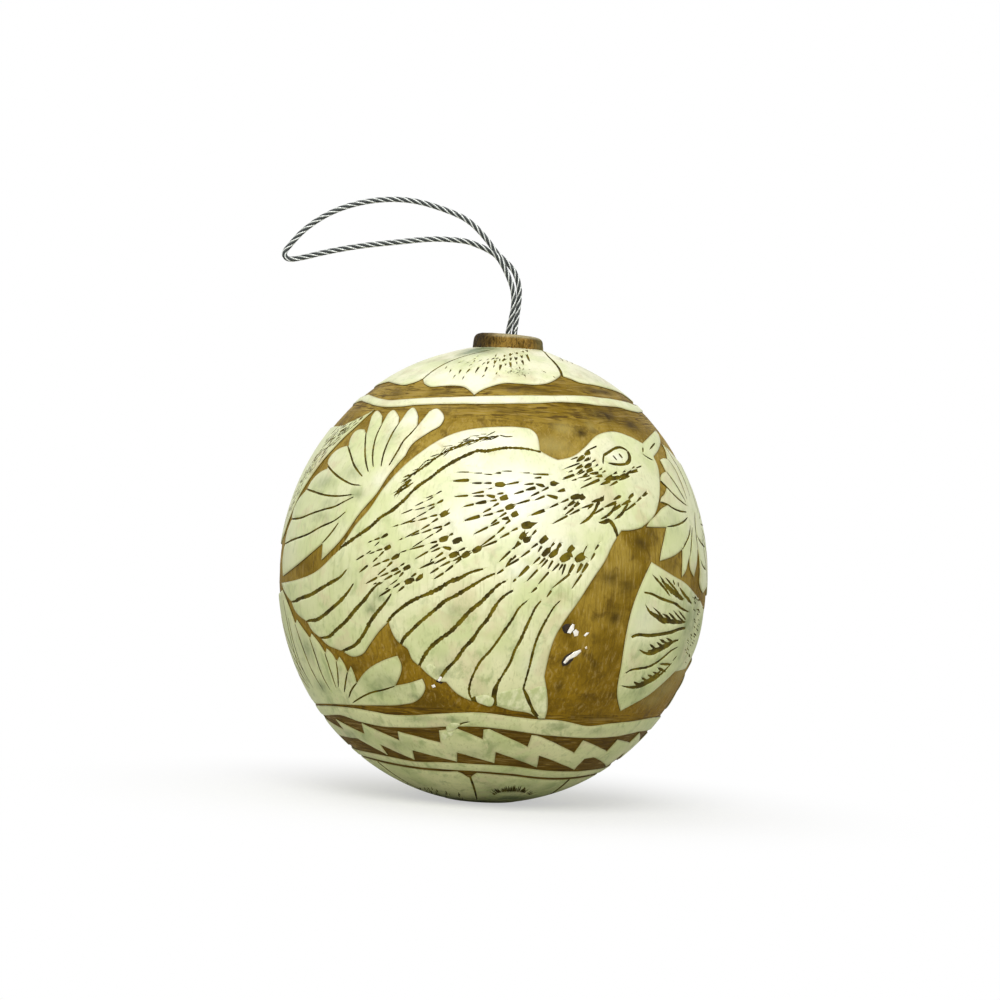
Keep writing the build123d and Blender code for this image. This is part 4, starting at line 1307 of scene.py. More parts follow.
TUFTS = {
    5.0: [[(662, 581), (668, 587), (676, 594), (684, 600)],
          [(653, 613), (660, 618), (668, 621), (680, 621.5)],
          [(648, 651), (655, 650.5), (663, 647), (672, 642)],
          [(636, 685), (644, 683), (652, 678.5), (661, 671)]],
    3.6: [[(640, 650), (645, 653), (652, 653.5), (660, 650), (668, 646), (674, 641.5), (679, 640)],
          [(622.5, 686), (630, 687.3), (640, 686.5), (648, 683), (655, 679), (663, 672.5), (672, 663)],
          [(680, 588), (684, 594), (689, 600), (692, 604)], [(664, 620), (672, 622), (686, 622)]],
    2.7: [[(653, 575), (660, 583), (666, 590), (670, 596)],
          [(660, 576), (666, 585), (672, 592), (676, 596)],
          [(666, 578), (671, 584), (676, 590), (681, 598)], [(676, 592), (682, 600)],
          [(646, 605), (650, 612), (656, 617), (661, 621), (666, 624)],
          [(663, 614), (669, 618), (673, 624)],
          [(669, 613), (674, 618), (679, 624)], [(650, 644.5), (657, 650.5)], [(657, 642.5), (664, 648)],
          [(660, 639.5), (669, 645)], [(667, 638.5), (674, 643)], [(634, 682), (641, 686.5)],
          [(642, 678), (649, 682)], [(648, 675), (656, 679)], [(653, 672), (661, 676)],
          [(658, 668), (666, 672)],
          [(660, 664), (671, 664.5)]],
    2.1: [[(651, 611), (655, 617)], [(654, 608), (659, 613), (664, 619), (668, 623)],
          [(674, 611), (679, 617), (685, 623)], [(673, 580), (675, 585)], [(678, 582), (679, 587)],
          [(679, 611), (686, 620)], [(667, 587), (672, 594)]],
}
for width, strokes in TUFTS.items():
    leaf_cuts += [gouge(places, width, 0.3, 0.45, 0.2, 0.4) for places in strokes]
speck_chance = random.Random(9)
for number in range(46):
    share = speck_chance.random()
    x = 697 - 20 * abs(share - 0.25) ** 1.5 + speck_chance.gauss(0, 2.2)
    y = 596 + 66 * share
    leaf_cuts.append(dash(x, y, x + 1.2, y + 1.6, speck_chance.uniform(0.6, 1.4)))
carve("front_leaf", drawn(LEAF), leaf_cuts)

# %% [markdown]
# ## Hatched strip at the left side
# A narrow curved strip closes the left side. It is covered with fine ticks that slant along
# it, dense at the top and faint lower down.

# %% Rim strip
STRIP = [
    [(374, 409), (366, 416), (357, 424.5), (344, 436.5), (333, 448), (323.5, 458.5), (314.5, 470.5),
     (305.5, 484), (298, 497), (292, 510.5), (287.5, 522), (284, 533)],
    ["beside", (-87, 556), (-95, 550), (-93, 515), (-89, 482), (-86, 455), (-82, 437)],
    [(343, 425), (352, 420.5), (363, 415.5), (374, 409)],
]
strip_cuts = []
chance = random.Random(5)
inner = eased(STRIP[0], 1.0)
for number in range(340):
    share = chance.random() ** 1.5
    u, v = spot(*inner[int(share * (len(inner) - 1))])
    u -= chance.uniform(0.7, 4.6 + 9 * (1 - share) ** 2)
    v += chance.uniform(-0.2, 1.2)
    reach = chance.uniform(0.8, 1.9) * (1 - 0.4 * share)
    width = chance.uniform(1.0, 2.3) * (1 - 0.5 * share)
    tilt = math.radians(40 + 30 * share + chance.uniform(-12, 12))
    heading = np.array([math.cos(tilt), math.sin(tilt)])
    line = np.array([(u, v) + reach * mark * heading for mark in (0, 0.5, 1)])
    strip_cuts.append((line, np.array([0.5, 1.0, 0.4]) * width * PIXEL / 2, np.array([0.1, 0.16, 0.1])))
carve("left_rim_strip", drawn(STRIP), strip_cuts)

# %% [markdown]
# ## The back
# The photograph doesn't show the back. It gets the same motifs, turned half round the stem,
# as such ornaments have. The narrow half fan fills what room is left.

# %% Back islands
HALF_VALLEYS = [(74, 563), (73.5, 542), (74, 520), (74.5, 498), (75, 476), (75.5, 457), (69, 446)]
HALF_TIPS = [(77, 552), (78, 531), (78.5, 509), (79, 487), (79.5, 466), (79, 449)]
HALF_FAN = RIGHT_FAN + leaves(HALF_VALLEYS, HALF_TIPS)
half_cuts = right_cuts[:9] + veins(HALF_VALLEYS[3:6], (66, 513))
for node, outline, cuts, turn in (("back_bird", BIRD, bird_cuts, BACK_TURN),
                                  ("back_upper_fan", UPPER_FAN, fan_cuts, BACK_TURN),
                                  ("back_lower_fan", LOWER_FAN, lower_fan_cuts, BACK_TURN),
                                  ("back_half_fan", HALF_FAN, half_cuts, BACK_TURN),
                                  ("back_leaf", LEAF, leaf_cuts, BACK_LEAF_TURN)):
    carve(node, drawn(outline), cuts, turn)

# %% [markdown]
# ## Rings of carving
# Five rings run right round the gourd. In front their edges follow the photograph, and round
# the back they go on at the heights that the CAD has. Flat on the skin each ring is a long
# strip, whose two ends are joined again when it is wrapped.

# %% Ring edges
def ring_edge(front, back, wobble=0.06, curved=True):
    """An edge right round: pixels in front, and (degrees, height) places behind, left out of the front."""
    middle = np.array([spot(*place) for place in (eased(front) if curved else front)])
    first, last = middle[0, 0], middle[-1, 0]
    rest = np.array([at_height(*place) for place in back])
    right = rest[rest[:, 0] > last + 0.8]
    left = rest[rest[:, 0] < first - 0.8]
    near_right = np.interp(last, rest[:, 0], rest[:, 1])
    near_left = np.interp(first, rest[:, 0], rest[:, 1])
    right[:, 1] += (middle[-1, 1] - near_right) * np.clip(1 - (right[:, 0] - last) / 25, 0, 1)
    left[:, 1] += (middle[0, 1] - near_left) * np.clip(1 - (first - left[:, 0]) / 25, 0, 1)
    edge = np.concatenate([left, middle, right])
    places = wrapped(edge[:, 0], edge[:, 1], 0.0)
    inner = slice(1, -1)
    edge[inner, 1] += wobble * np.array([noise.noise(Vector(place) * 420) for place in places])[inner]
    return edge


def level(height, slope=0.0, step=2.5):
    """Places right round at one height, which may rise to the right."""
    places = []
    for degrees in np.arange(-180, 180.01, step):
        places.append((degrees, height + slope * math.sin(math.radians(degrees))))
    return places


def strip(top, bottom):
    """Closed outline of a ring from its two edges."""
    top, bottom = top.copy(), bottom.copy()
    for edge in (top, bottom):
        edge[0, 0], edge[-1, 0] = -ROUND / 2, ROUND / 2
        edge[-1, 1] = edge[0, 1]
    return np.concatenate([bottom, top[::-1]])


print("ring places", len(level(50)))

# %% [markdown]
# The upper band and the crown's edge lean: they rise to the right by 3 degrees.

# %% Upper band and crown petals
UPPER_TOP = [(368, 394), (378, 397.5), (390, 399.5), (400, 399), (430, 397), (450, 396.5), (500, 395),
             (560, 395), (580, 395), (590, 395.5), (600, 397), (610, 398), (620, 400), (630, 402.5),
             (636, 405)]
UPPER_BOTTOM = [(361, 400), (366, 402), (375, 405), (390, 406.5), (400, 406), (415, 404.5), (445, 403.5),
                (500, 403), (540, 402.5), (560, 401.5), (580, 402.5), (600, 405), (620, 407), (630, 410),
                (639, 412)]
carve("upper_band", strip(ring_edge(UPPER_TOP, level(74.49, 1.43)),
                                       ring_edge(UPPER_BOTTOM, level(72.99, 1.48))))

CROWN_EDGE = [(388, 381), (395, 383), (403, 384.4), (412, 382.5), (422.5, 378)]
CROWN_FRONT = [(424, 383), (430, 386), (440, 385.5), (455, 385), (463, 386), (469, 389.5), (474, 394.5)]
CROWN_FRONT_RIGHT = [(474, 394.5), (479, 391), (485, 388), (495, 384.5), (505, 382.5), (520, 383),
                     (540, 384),
                     (550, 382), (561, 375)]
CROWN_RIGHT = [(561, 375), (570, 378), (580, 382), (595, 384.5), (605, 387), (615, 390), (622, 393),
               (634, 402)]
behind_crown = []
for degrees in np.arange(-180, 180.01, 2.5):
    nearest = min(((degrees - groove + 180) % 360 - 180 for groove in (-113, 103, 175)), key=abs)
    height = 76.5 + 1.3 * math.sin(math.radians(degrees)) + max(0.0, 1.5 - abs(nearest) * 0.5)
    behind_crown.append((degrees, height))
crown_front = np.concatenate([eased(part) for part in (CROWN_EDGE, CROWN_FRONT, CROWN_FRONT_RIGHT,
                                                       CROWN_RIGHT)])
crown_front = crown_front[np.concatenate([[True],
                                          np.linalg.norm(np.diff(crown_front, axis=0), axis=1) > 0.01])]
crown_low = ring_edge(crown_front, behind_crown, curved=False)
rim_v = math.acos(6.5 / RADIUS) * ARC
crown_high = np.array([(math.radians(degrees) * RADIUS, rim_v) for degrees in np.arange(-180, 181, 6)])
crown_cuts = [
    gouge([(422.5, 379), (431, 372), (446, 363), (463, 356.4), (492, 350)], 1.8, 0.7, 0.5, 0.3, 0.2),
    gouge([(562, 376), (560, 370), (555, 363), (550, 358), (545, 354), (536, 349)], 2.6, 0.8, 0.6, 0.32,
          0.2),
]
for degrees in (-113, 103, 175):
    foot_u, foot_v = at_height(degrees, 77.9 + 1.3 * math.sin(math.radians(degrees)))
    rising = [(foot_u + 1.2 * math.sin(share * 3),
               foot_v + (rim_v - foot_v) * share) for share in np.linspace(0, 0.98, 14)]
    crown_cuts.append(gouge(rising, 2.2, 0.8, 0.5, 0.32, flat=True))
TICKS = {
    3.3: [(506, 358, 503, 360.5), (516, 356.5, 516, 359.3), (511.5, 353, 510, 355),
          (515.5, 352.3, 517, 353.6)],
    2.6: [(505.5, 354.5, 504.3, 356), (510, 361.5, 511, 367), (521.5, 351.5, 523.3, 352.5),
          (521.5, 354.8, 521.8, 357.3), (521.8, 359.5, 523.5, 364), (526.5, 354, 529.5, 361),
          (526, 351, 527, 352.3), (495.7, 359.8, 494.5, 363), (501, 364, 499.8, 369.5)],
    2.1: [(470, 368.5, 466.5, 372.5), (479, 366.5, 475.5, 372), (487.3, 366.5, 485, 371.5),
          (488.8, 360.8, 487.5, 363.5), (495, 357.5, 492, 359), (499, 357.3, 496, 358.5),
          (511, 357, 510.5, 360), (461, 369, 459, 373), (506, 363, 505.5, 364.6), (475.5, 360, 474, 361)],
    1.4: [(455.5, 374.5, 453.5, 377), (451, 369, 449.5, 372), (464, 376, 462.5, 379),
          (484.5, 374.5, 482, 377), (485, 362, 482.3, 364.5), (482, 359.5, 478.7, 361),
          (489, 358.5, 486.5, 360), (469, 362, 466, 363), (496, 354.5, 495.5, 356),
          (494.5, 364.5, 493.5, 367), (500, 358.5, 499.5, 361), (516.5, 361, 517, 364),
          (512, 370, 510, 371.5), (519, 366.5, 520, 368.5), (497, 372, 496, 374), (561, 356, 563, 361),
          (566, 358, 567.5, 361.5), (571, 360, 572.5, 363.5), (578, 362, 579.5, 364.5),
          (585, 365, 586.5, 367.5), (543, 371, 546, 372.5), (553, 376, 555, 377.5),
          (524, 374.5, 525.5, 376), (476, 358, 474, 358.8), (472, 364, 469.5, 365.3),
          (461, 361.5, 458, 362.8), (447, 366, 445, 368.5), (479, 355.5, 476.5, 356.2)],
}
for width, rows in TICKS.items():
    crown_cuts += [dash(*row, width) for row in rows]
chance = random.Random(21)
for number in range(34):
    x, y = chance.gauss(516, 7), chance.gauss(371.5, 2.2)
    crown_cuts.append(dash(x, y, x + 1.6, y + chance.uniform(-0.6, 0.8), chance.uniform(0.5, 0.9)))
for number in range(80):
    lean = math.radians(chance.choice((-1, 1)) * chance.uniform(95, 176))
    far = chance.uniform(8.2, 12.5)
    v = math.acos(far / RADIUS) * ARC
    u = lean * RADIUS
    run = chance.uniform(0.4, 1.0)
    line = np.array([(u, v), (u, v - run / 2), (u, v - run)])
    crown_cuts.append((line, np.array([0.6, 1.0, 0.4]) * chance.uniform(1.0, 2.0) * PIXEL / 2,
                       np.array([0.1, 0.15, 0.1])))
carve("crown_petals", strip(crown_high, crown_low), crown_cuts)

# %% [markdown]
# The lower band and the base ring are level all round.

# %% Lower band and base ring
LOWER_TOP = [(314, 706), (329, 706.2), (341, 707.2), (354, 708.7), (369, 711.2), (388, 714.8),
             (413.5, 715.8),
             (437.5, 714.4), (480, 713.2), (512, 717), (537, 719.8), (560, 721), (590, 726.7), (612, 724),
             (631.5, 722), (654, 718)]
LOWER_BOTTOM = [(324, 716), (339, 715.5), (359, 722), (382, 727), (406, 728), (429.5, 728), (453, 727),
                (480, 727.5), (512, 731), (536, 734.6), (560, 737), (588.5, 738.6), (616, 737),
                (639.5, 732)]
lower_cuts = [gouge([(455, 729), (461, 724), (470, 722)], 1.6, 0.3, 0.3, 0.14, 0.5)]
carve("lower_band", strip(ring_edge(LOWER_TOP, level(17.29)), ring_edge(LOWER_BOTTOM, level(14.89))),
      lower_cuts)
BASE_TOP = [(359, 751), (388, 757), (413.5, 762), (445, 763), (480, 765), (512, 767), (544, 771),
            (576, 772), (603, 769)]
BASE_BOTTOM = [(366, 757), (388, 762.5), (413.5, 767), (445, 770), (480, 772), (512, 774.5), (544, 778),
               (569, 778), (600, 773)]
carve("base_ring", strip(ring_edge(BASE_TOP, level(8.39)), ring_edge(BASE_BOTTOM, level(7.24))))

# %% [markdown]
# The zigzag is a strip with saw teeth on both edges. The nine teeth in front are drawn, and
# the ones behind are the same tooth repeated at the pitch that closes the ring.

# %% Zigzag
TEETH_TOP = [(325, 718.5), (343.3, 729.7), (335.3, 719.5), (363.9, 734.1), (361.2, 723.5), (398.8, 740.7),
             (397.3, 731.9), (440.2, 742.9), (438.7, 731), (457, 728.8), (482.7, 739.5), (483.5, 730),
             (489, 729.5), (527.7, 747.4), (531.7, 735.4), (537.7, 736), (574.4, 753.3), (581.9, 742.9),
             (583.5, 741), (607.4, 751.8), (617.9, 740), (629.9, 742.9), (640, 733)]
TEETH_BOTTOM = [(344, 737), (357.7, 739.2), (387.4, 755.4), (380, 745.1), (414.5, 760.5), (412.3, 751),
                (457, 762.2),
                (457, 753.2), (494.4, 763.6), (495.7, 752.6), (537, 768.0), (539.2, 756.3), (574.4, 770.5),
                (577.4, 766.8), (584.9, 759.3), (593.9, 757.8), (601, 761.5), (606, 767)]


def straight(front, back):
    """Edge of straight runs, finely divided: pixels in front, then (degrees, height) behind."""
    places = [spot(*place) for place in front] + [at_height(*place) for place in back]
    line = []
    for start, finish in zip(places, places[1:]):
        start, finish = np.array(start), np.array(finish)
        count = max(1, int(np.linalg.norm(finish - start) / 0.6))
        line += [start + (finish - start) * step / count for step in range(count)]
    line.append(np.array(places[-1]))
    line = np.array(line)
    shift = np.array([noise.noise(Vector(place) * 500) for place in wrapped(line[:, 0], line[:, 1], 0.0)])
    line[:, 1] += 0.09 * shift
    return line


def saw(start, end, pitch_first, pitch_second):
    """(degrees, height) of repeated teeth from one angle to another."""
    count = int(round((end - start) / 16.5))
    pitch = (end - start) / count
    return [(start + pitch * (number + share), height) for number in range(count)
            for share, height in ((pitch_first[0], pitch_first[1]), (pitch_second[0], pitch_second[1]))]


def closed_ring(line):
    """Cut a line that runs once round, from the front to the front again, open at the back."""
    jump = int(np.argmax(line[:, 0] > ROUND / 2))
    share = (ROUND / 2 - line[jump - 1, 0]) / (line[jump, 0] - line[jump - 1, 0])
    v = line[jump - 1, 1] + share * (line[jump, 1] - line[jump - 1, 1])
    return np.concatenate([[(-ROUND / 2, v)], line[jump:] - (ROUND, 0), line[:jump], [(ROUND / 2, v)]])


first = math.degrees(spot(*TEETH_TOP[0])[0] / RADIUS)
last = math.degrees(spot(*TEETH_TOP[-1])[0] / RADIUS)
behind = saw(last, first + 360, (0.93, 12.4), (1.0, 14.5))
top_edge = closed_ring(straight(TEETH_TOP, behind[:-1] + [(first + 360, 14.5)]))
first = math.degrees(spot(*TEETH_BOTTOM[0])[0] / RADIUS)
last = math.degrees(spot(*TEETH_BOTTOM[-1])[0] / RADIUS)
behind = saw(last, first + 360, (0.07, 10.8), (1.0, 8.8))
low_edge = closed_ring(straight(TEETH_BOTTOM, behind[:-1] + [(first + 360, 10.9)]))
carve("zigzag_band", strip(top_edge, low_edge))

# %% [markdown]
# ## Base petals
# Seven broad petals close the bottom. Single cuts part them, and a brown notch opens where
# two of them meet at the base ring.

# %% Base petals
PETAL_TOP = [(368, 759), (388, 764.5), (413.5, 769), (445, 772), (457, 772)]
PETAL_NOTCH = [(457, 772), (462, 774), (470, 778), (474, 775), (477, 773.4)]
PETAL_TOP_RIGHT = [(477, 773.4), (512, 776.5), (544, 780), (569, 780), (598, 775)]
petal_front = np.concatenate([eased(PETAL_TOP)[:-1], eased(PETAL_NOTCH)[:-1], eased(PETAL_TOP_RIGHT)])
petal_high = ring_edge(petal_front, level(6.89), curved=False)
foot_v = -math.acos(7.5 / RADIUS) * ARC
petal_low = np.array([(math.radians(degrees) * RADIUS, foot_v) for degrees in np.arange(-180, 181, 6)])
petal_cuts = [gouge([(470, 777), (474, 788), (477, 800)], 2.2, 0.8, 0.5),
              gouge([(569, 780), (560, 788), (545, 798)], 3.2, 0.8, 0.5)]
for degrees in (96.9, 148.3, 199.7, 251.1, 302.6):
    degrees = (degrees + 180) % 360 - 180
    top_u, top_v = at_height(degrees, 6.9)
    petal_cuts.append(gouge([(top_u, top_v + (foot_v - top_v) * share) for share in np.linspace(0, 0.97,
                                                                                                12)],
                            2.4, 0.9, 0.5, flat=True))
chance = random.Random(31)
for number in range(64):
    angle = math.radians(chance.uniform(-70, 70))
    x, y = 512 + 18 * math.sin(angle), 797 - 5 * math.cos(angle)
    reach = chance.uniform(3, 8)
    petal_cuts.append(dash(x, y, x + reach * math.sin(angle), y - reach * 0.8 * math.cos(angle),
                           chance.uniform(0.9, 1.9)))
for number in range(26):
    x = chance.uniform(398, 470)
    y = 784 + (x - 398) * 0.2 + chance.uniform(-1, 6)
    petal_cuts.append(dash(x, y, x - 1.5, y - chance.uniform(2, 4), chance.uniform(0.8, 1.5)))
carve("base_petals", strip(petal_high, petal_low), petal_cuts)

# %% [markdown]
# ## Chips and flakes
# The knife slipped here and there: bright chips with dark pits beside them lie in the brown
# field, a raised film of rind crosses the lowest feathers, and two leaf tips are chipped. The
# chips' near-white is partly their own colour and partly a painted highlight, and the pits'
# near-black is painted shadow. Each is a tiny plate, cut by the same tool in another colour.

# %% Chip colours
# Partly painted highlight: the chips are painted nearly pure white.
chip_and_highlight_paint, shader, here = new_material("chip_and_painted_highlight", Roughness=0.35, Coat_Weight=0.3)
flecks = here.grain(2600, 3)
tone = flecks.between(0.42, 0.66).tint(paint(255, 254, 248), paint(240, 228, 208))
finish_paint(here, shader, tone, flecks)

# Painted shadow: the pits are near-black plates laid on the ground.
pit_shadow_paint, shader, here = new_material("pit_painted_shadow", Roughness=0.8)
flecks = here.grain(1800, 3)
tone = flecks.between(0.36, 0.66).tint(paint(20, 10, 0), paint(48, 30, 6))
finish_paint(here, shader, tone, flecks)

film_paint, shader, here = new_material("raised_film", Roughness=0.35, Coat_Weight=0.2)
flecks = here.stretched(1, 1, 0.4).grain(900, 4, 0.6)
tone = flecks.between(0.36, 0.64).tint(paint(232, 233, 186), paint(196, 204, 142))
finish_paint(here, shader, tone, flecks)
print("chip colours ready")

# %% [markdown]
# Each chip's row says its colour, how high it stands over the rind and its outline in the
# picture's pixels. The films have soft outlines and the others straight broken ones.

# %% Chips
CHIPS = [
    (pit_shadow_paint, -0.19, [(562.5, 627), (565.5, 624.5), (570, 624), (572, 629), (570, 634), (565, 634),
                        (563, 631)]),
    (chip_and_highlight_paint, -0.10, [(567.5, 633), (570, 628), (573, 624), (575, 625), (574.5, 630), (571, 634)]),
    (chip_and_highlight_paint, -0.12, [(573.5, 632), (576.5, 629.5), (579.5, 632), (578.5, 636), (575, 637)]),
    (chip_and_highlight_paint, -0.14, [(584.5, 636), (587, 633), (590, 632.8), (588.5, 635), (586, 637)]),
    (chip_and_highlight_paint, -0.15, [(585.5, 648), (587.5, 646.4), (588, 649), (586.3, 649.6)]),
    (pit_shadow_paint, -0.19, [(562, 663), (565, 657), (572, 652), (577, 654), (574, 661), (568, 666),
                        (563, 667)]),
    (chip_and_highlight_paint, -0.10, [(563.5, 663), (567, 658), (574, 652.6), (581, 650), (582, 652), (577, 656.5),
                         (570, 660), (565.5, 664.5)]),
    (pit_shadow_paint, -0.18, [(434, 679), (439, 677), (445, 681), (441, 685), (436, 683)]),
    (chip_and_highlight_paint, -0.03, [(435, 678.5), (440, 676.5), (444, 679.5), (439, 682)]),
    (chip_and_highlight_paint, -0.12, [(431, 686), (434, 685), (435.5, 687.5), (432.5, 688.5)]),
    (film_paint, 0.05, [(424, 667), (430, 664), (436, 668), (432, 674), (437, 680), (428, 674)]),
    (film_paint, 0.04, [(475.5, 697), (482, 695), (490, 696), (494, 700), (492, 706), (482, 704.5),
                        (477, 702)]),
    (film_paint, 0.03, [(498, 693), (507, 690.5), (516, 688.8), (521.5, 688), (524, 694), (527, 702),
                        (531, 711),
                        (520, 710), (507, 707.6), (499.5, 705), (497.8, 698)]),
    (film_paint, 0.03, [(527, 691), (534, 688), (540, 686), (545, 687), (546.4, 700), (544.6, 713),
                        (538.5, 713),
                        (533.5, 703), (529.5, 697)]),
    (film_paint, 0.05, [(446, 727.2), (450, 723.5), (456, 723), (460, 724.5), (457, 728), (452, 731),
                        (447, 731.5)]),
    (film_paint, 0.02, [(441, 735), (444, 731.5), (451, 732), (456, 731), (453, 735), (446, 739),
                        (442, 740.5)]),
    (pit_shadow_paint, -0.16, [(537.5, 713), (541, 714), (543, 718), (540, 718.5)]),
]
for number, (colour, height, outline) in enumerate(CHIPS):
    corners = np.array(outline + outline[:1], float)
    if colour is film_paint:
        corners = eased(corners, 1.2)
    places = [spot(*place) for place in corners[:-1]]
    carve("front_bird", places, (), name=f"chip_{number + 1}", lift=height, foot=0.3, stain=colour,
          spacing=0.5)

# %% [markdown]
# ## The gourd's wall
# The wall is a ball at first. Its rings are moved to the gourd's own half ellipses, the stem
# end is cut open, the bottom is set flat, and then the wall gets its thickness inwards. The
# gouge left shallow facets, which are worked in before that.

# %% Gourd wall
bpy.ops.mesh.primitive_uv_sphere_add(segments=280, ring_count=164, radius=1.0, location=(0, 0, 0))
wall = bpy.context.object
wall.name = "gourd_wall"
for vertex in wall.data.vertices:
    x, y, z = vertex.co
    rise = math.asin(max(-1, min(1, z)))
    turn = math.atan2(x, -y)
    half = (CROWN if z > 0 else BOWL) - GROUND_DEPTH
    out, up = (RADIUS - GROUND_DEPTH) * math.cos(rise), MIDDLE + half * math.sin(rise)
    mark = Vector((out * math.sin(turn), -out * math.cos(turn), up))
    scraped = noise.noise(Vector((mark.x * 0.10, mark.y * 0.10, mark.z * 0.9))) * 0.05
    scraped += noise.noise(mark * 0.35) * 0.04 - 0.04
    if out < 7.4 and z < 0:
        up = max(0.0, MIDDLE - BOWL * math.sqrt(1 - (out / RADIUS) ** 2))
        scraped = 0
    if out < 6.4 and z > 0:
        up = LAND - 0.02
        scraped = 0
    vertex.co = Vector(((out + scraped) * math.sin(turn), -(out + scraped) * math.cos(turn), up)) * MM
shape = bmesh.new()
shape.from_mesh(wall.data)
opening = [face for face in shape.faces
           if face.calc_center_median().z > LAND * MM - 0.001
           and face.calc_center_median().xy.length < 0.0049]
bmesh.ops.delete(shape, geom=opening, context="FACES")
shape.to_mesh(wall.data)
shape.free()
thick = wall.modifiers.new("thickness", "SOLIDIFY")
thick.thickness = 0.003
thick.offset = -1
pick(wall)
bpy.ops.object.modifier_apply(modifier="thickness")
wall.data.materials.append(ground)
wall.data.materials.append(rind)
places = []
for vertex in wall.data.vertices:
    x, y, z = vertex.co / MM
    rise = math.asin(max(-1.0, min(1.0, (z - MIDDLE) / (CROWN if z > MIDDLE else BOWL))))
    places.append((math.atan2(x, -y) * RADIUS, rise * ARC))
for title, clouds in (("smudge", GROUND_CLOUDS), ("pale", FILMY)):
    store(wall.data, title, clouded(np.array(places), clouds))
for face in wall.data.polygons:
    if math.hypot(face.center.x, face.center.y) < 0.0075 and face.center.z < 0.0004:
        face.material_index = 1
smoothed(wall, 40)
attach(wall, "gourd")
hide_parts("gourd_shell")
print("wall faces", len(wall.data.polygons))

# %% [markdown]
# ## Stopper
# The stopper is a whittled button of raw wood: narrower at its top, with softened edges and
# fibres that show on its side. It is turned from a cylinder, with a peg drawn out below it
# and a bore for the cord.

# %% Stopper wood
stopper_wood, shader, here = new_material("stopper_wood", Roughness=0.75, Specular_IOR_Level=0.2)
fibres = here.stretched(1, 1, 0.30).grain(2600, 5, 0.7, 0.8)
patches = here.grain(420, 3, 0.6)
side = along_axis(here, 0)
height = along_axis(here, 2)
tone = patches.between(0.35, 0.65).tint(paint(104, 78, 14), paint(166, 130, 56))
tone = (fibres.between(0.50, 0.60) * 0.85).tint(tone, paint(50, 34, 4))
tone = (fibres.between(0.42, 0.32) * 0.6).tint(tone, paint(196, 168, 112))
# Painted shade: the stopper's left side is painted nearly black.
dark = fibres.between(0.4, 0.6).tint(paint(74, 58, 20), paint(22, 14, 0))
tone = (side.between(-0.0014, -0.0048) * 0.9).tint(tone, dark)
tone = (side.between(0.0046, 0.0064) * 0.5).tint(tone, paint(116, 118, 76))
lit_rim = height.between(0.0858, 0.0864) * side.between(-0.0045, 0.0005)
tone = (lit_rim * 0.85).tint(tone, paint(206, 194, 150))
finish_paint(here, shader, tone, fibres * 1.4 + patches, 0.0005, 0.9)
print("wood nodes", len(stopper_wood.node_tree.nodes))

# %% [markdown]
# The button's edges are bevelled and its peg is drawn out downwards. The mesh is then made
# even and fine, the bore is drilled, and the whittled facets are worked into the side.

# %% Stopper
BUTTON_RADIUS = 6.62
BUTTON_HEIGHT = 2.5
BUTTON_SHIFT = 0.35
PEG_RADIUS = 4.3
PEG_END = 77.86
BORE_RADIUS = 1.4
button_middle = LAND + BUTTON_HEIGHT / 2 + STOPPER_RISE / 2
bpy.ops.mesh.primitive_cylinder_add(vertices=96, radius=BUTTON_RADIUS * MM,
                                    depth=(BUTTON_HEIGHT + STOPPER_RISE) * MM,
                                    location=(BUTTON_SHIFT * MM, 0, button_middle * MM))
stopper = bpy.context.object
stopper.name = "stopper_button"
bpy.ops.object.transform_apply(location=True, rotation=True, scale=True)
shape = bmesh.new()
shape.from_mesh(stopper.data)
top = [face for face in shape.faces if face.normal.z > 0.9]
bottom = [face for face in shape.faces if face.normal.z < -0.9]
for vertex in top[0].verts:
    vertex.co.x *= 0.96
    vertex.co.y *= 0.96
ring = bmesh.ops.inset_region(shape, faces=bottom, thickness=(BUTTON_RADIUS - PEG_RADIUS) * MM, use_even_offset=True)
peg = bmesh.ops.extrude_face_region(shape, geom=bottom)
lowered = [item for item in peg["geom"] if isinstance(item, bmesh.types.BMVert)]
bmesh.ops.delete(shape, geom=[face for face in bottom if face.is_valid], context="FACES_ONLY")
for vertex in lowered:
    vertex.co.z = PEG_END * MM
    vertex.co.x *= 0.9
    vertex.co.y *= 0.9
for level_wanted, softness in ((STOPPER_TOP + STOPPER_RISE, 1.2), (LAND, 0.25)):
    rim_edges = [edge for edge in shape.edges
                 if all(abs(end.co.z - level_wanted * MM) < 1e-5 and end.co.xy.length > 5 * MM
                        for end in edge.verts)]
    bmesh.ops.bevel(shape, geom=rim_edges, offset=softness * MM, segments=6, profile=0.55, affect="EDGES",
                    clamp_overlap=True)
bmesh.ops.recalc_face_normals(shape, faces=shape.faces)
shape.to_mesh(stopper.data)
shape.free()
pick(stopper)
finer = stopper.modifiers.new("finer", "REMESH")
finer.mode = "VOXEL"
finer.voxel_size = 0.00016
bpy.ops.object.modifier_apply(modifier="finer")
bpy.ops.mesh.primitive_cylinder_add(vertices=48, radius=BORE_RADIUS * MM, depth=20 * MM,
                                    location=(BORE * MM, 0, 82 * MM))
drill = bpy.context.object
pick(stopper)
bore = stopper.modifiers.new("bore", "BOOLEAN")
bore.operation = "DIFFERENCE"
bore.object = drill
bore.solver = "EXACT"
bpy.ops.object.modifier_apply(modifier="bore")
bpy.data.objects.remove(drill)
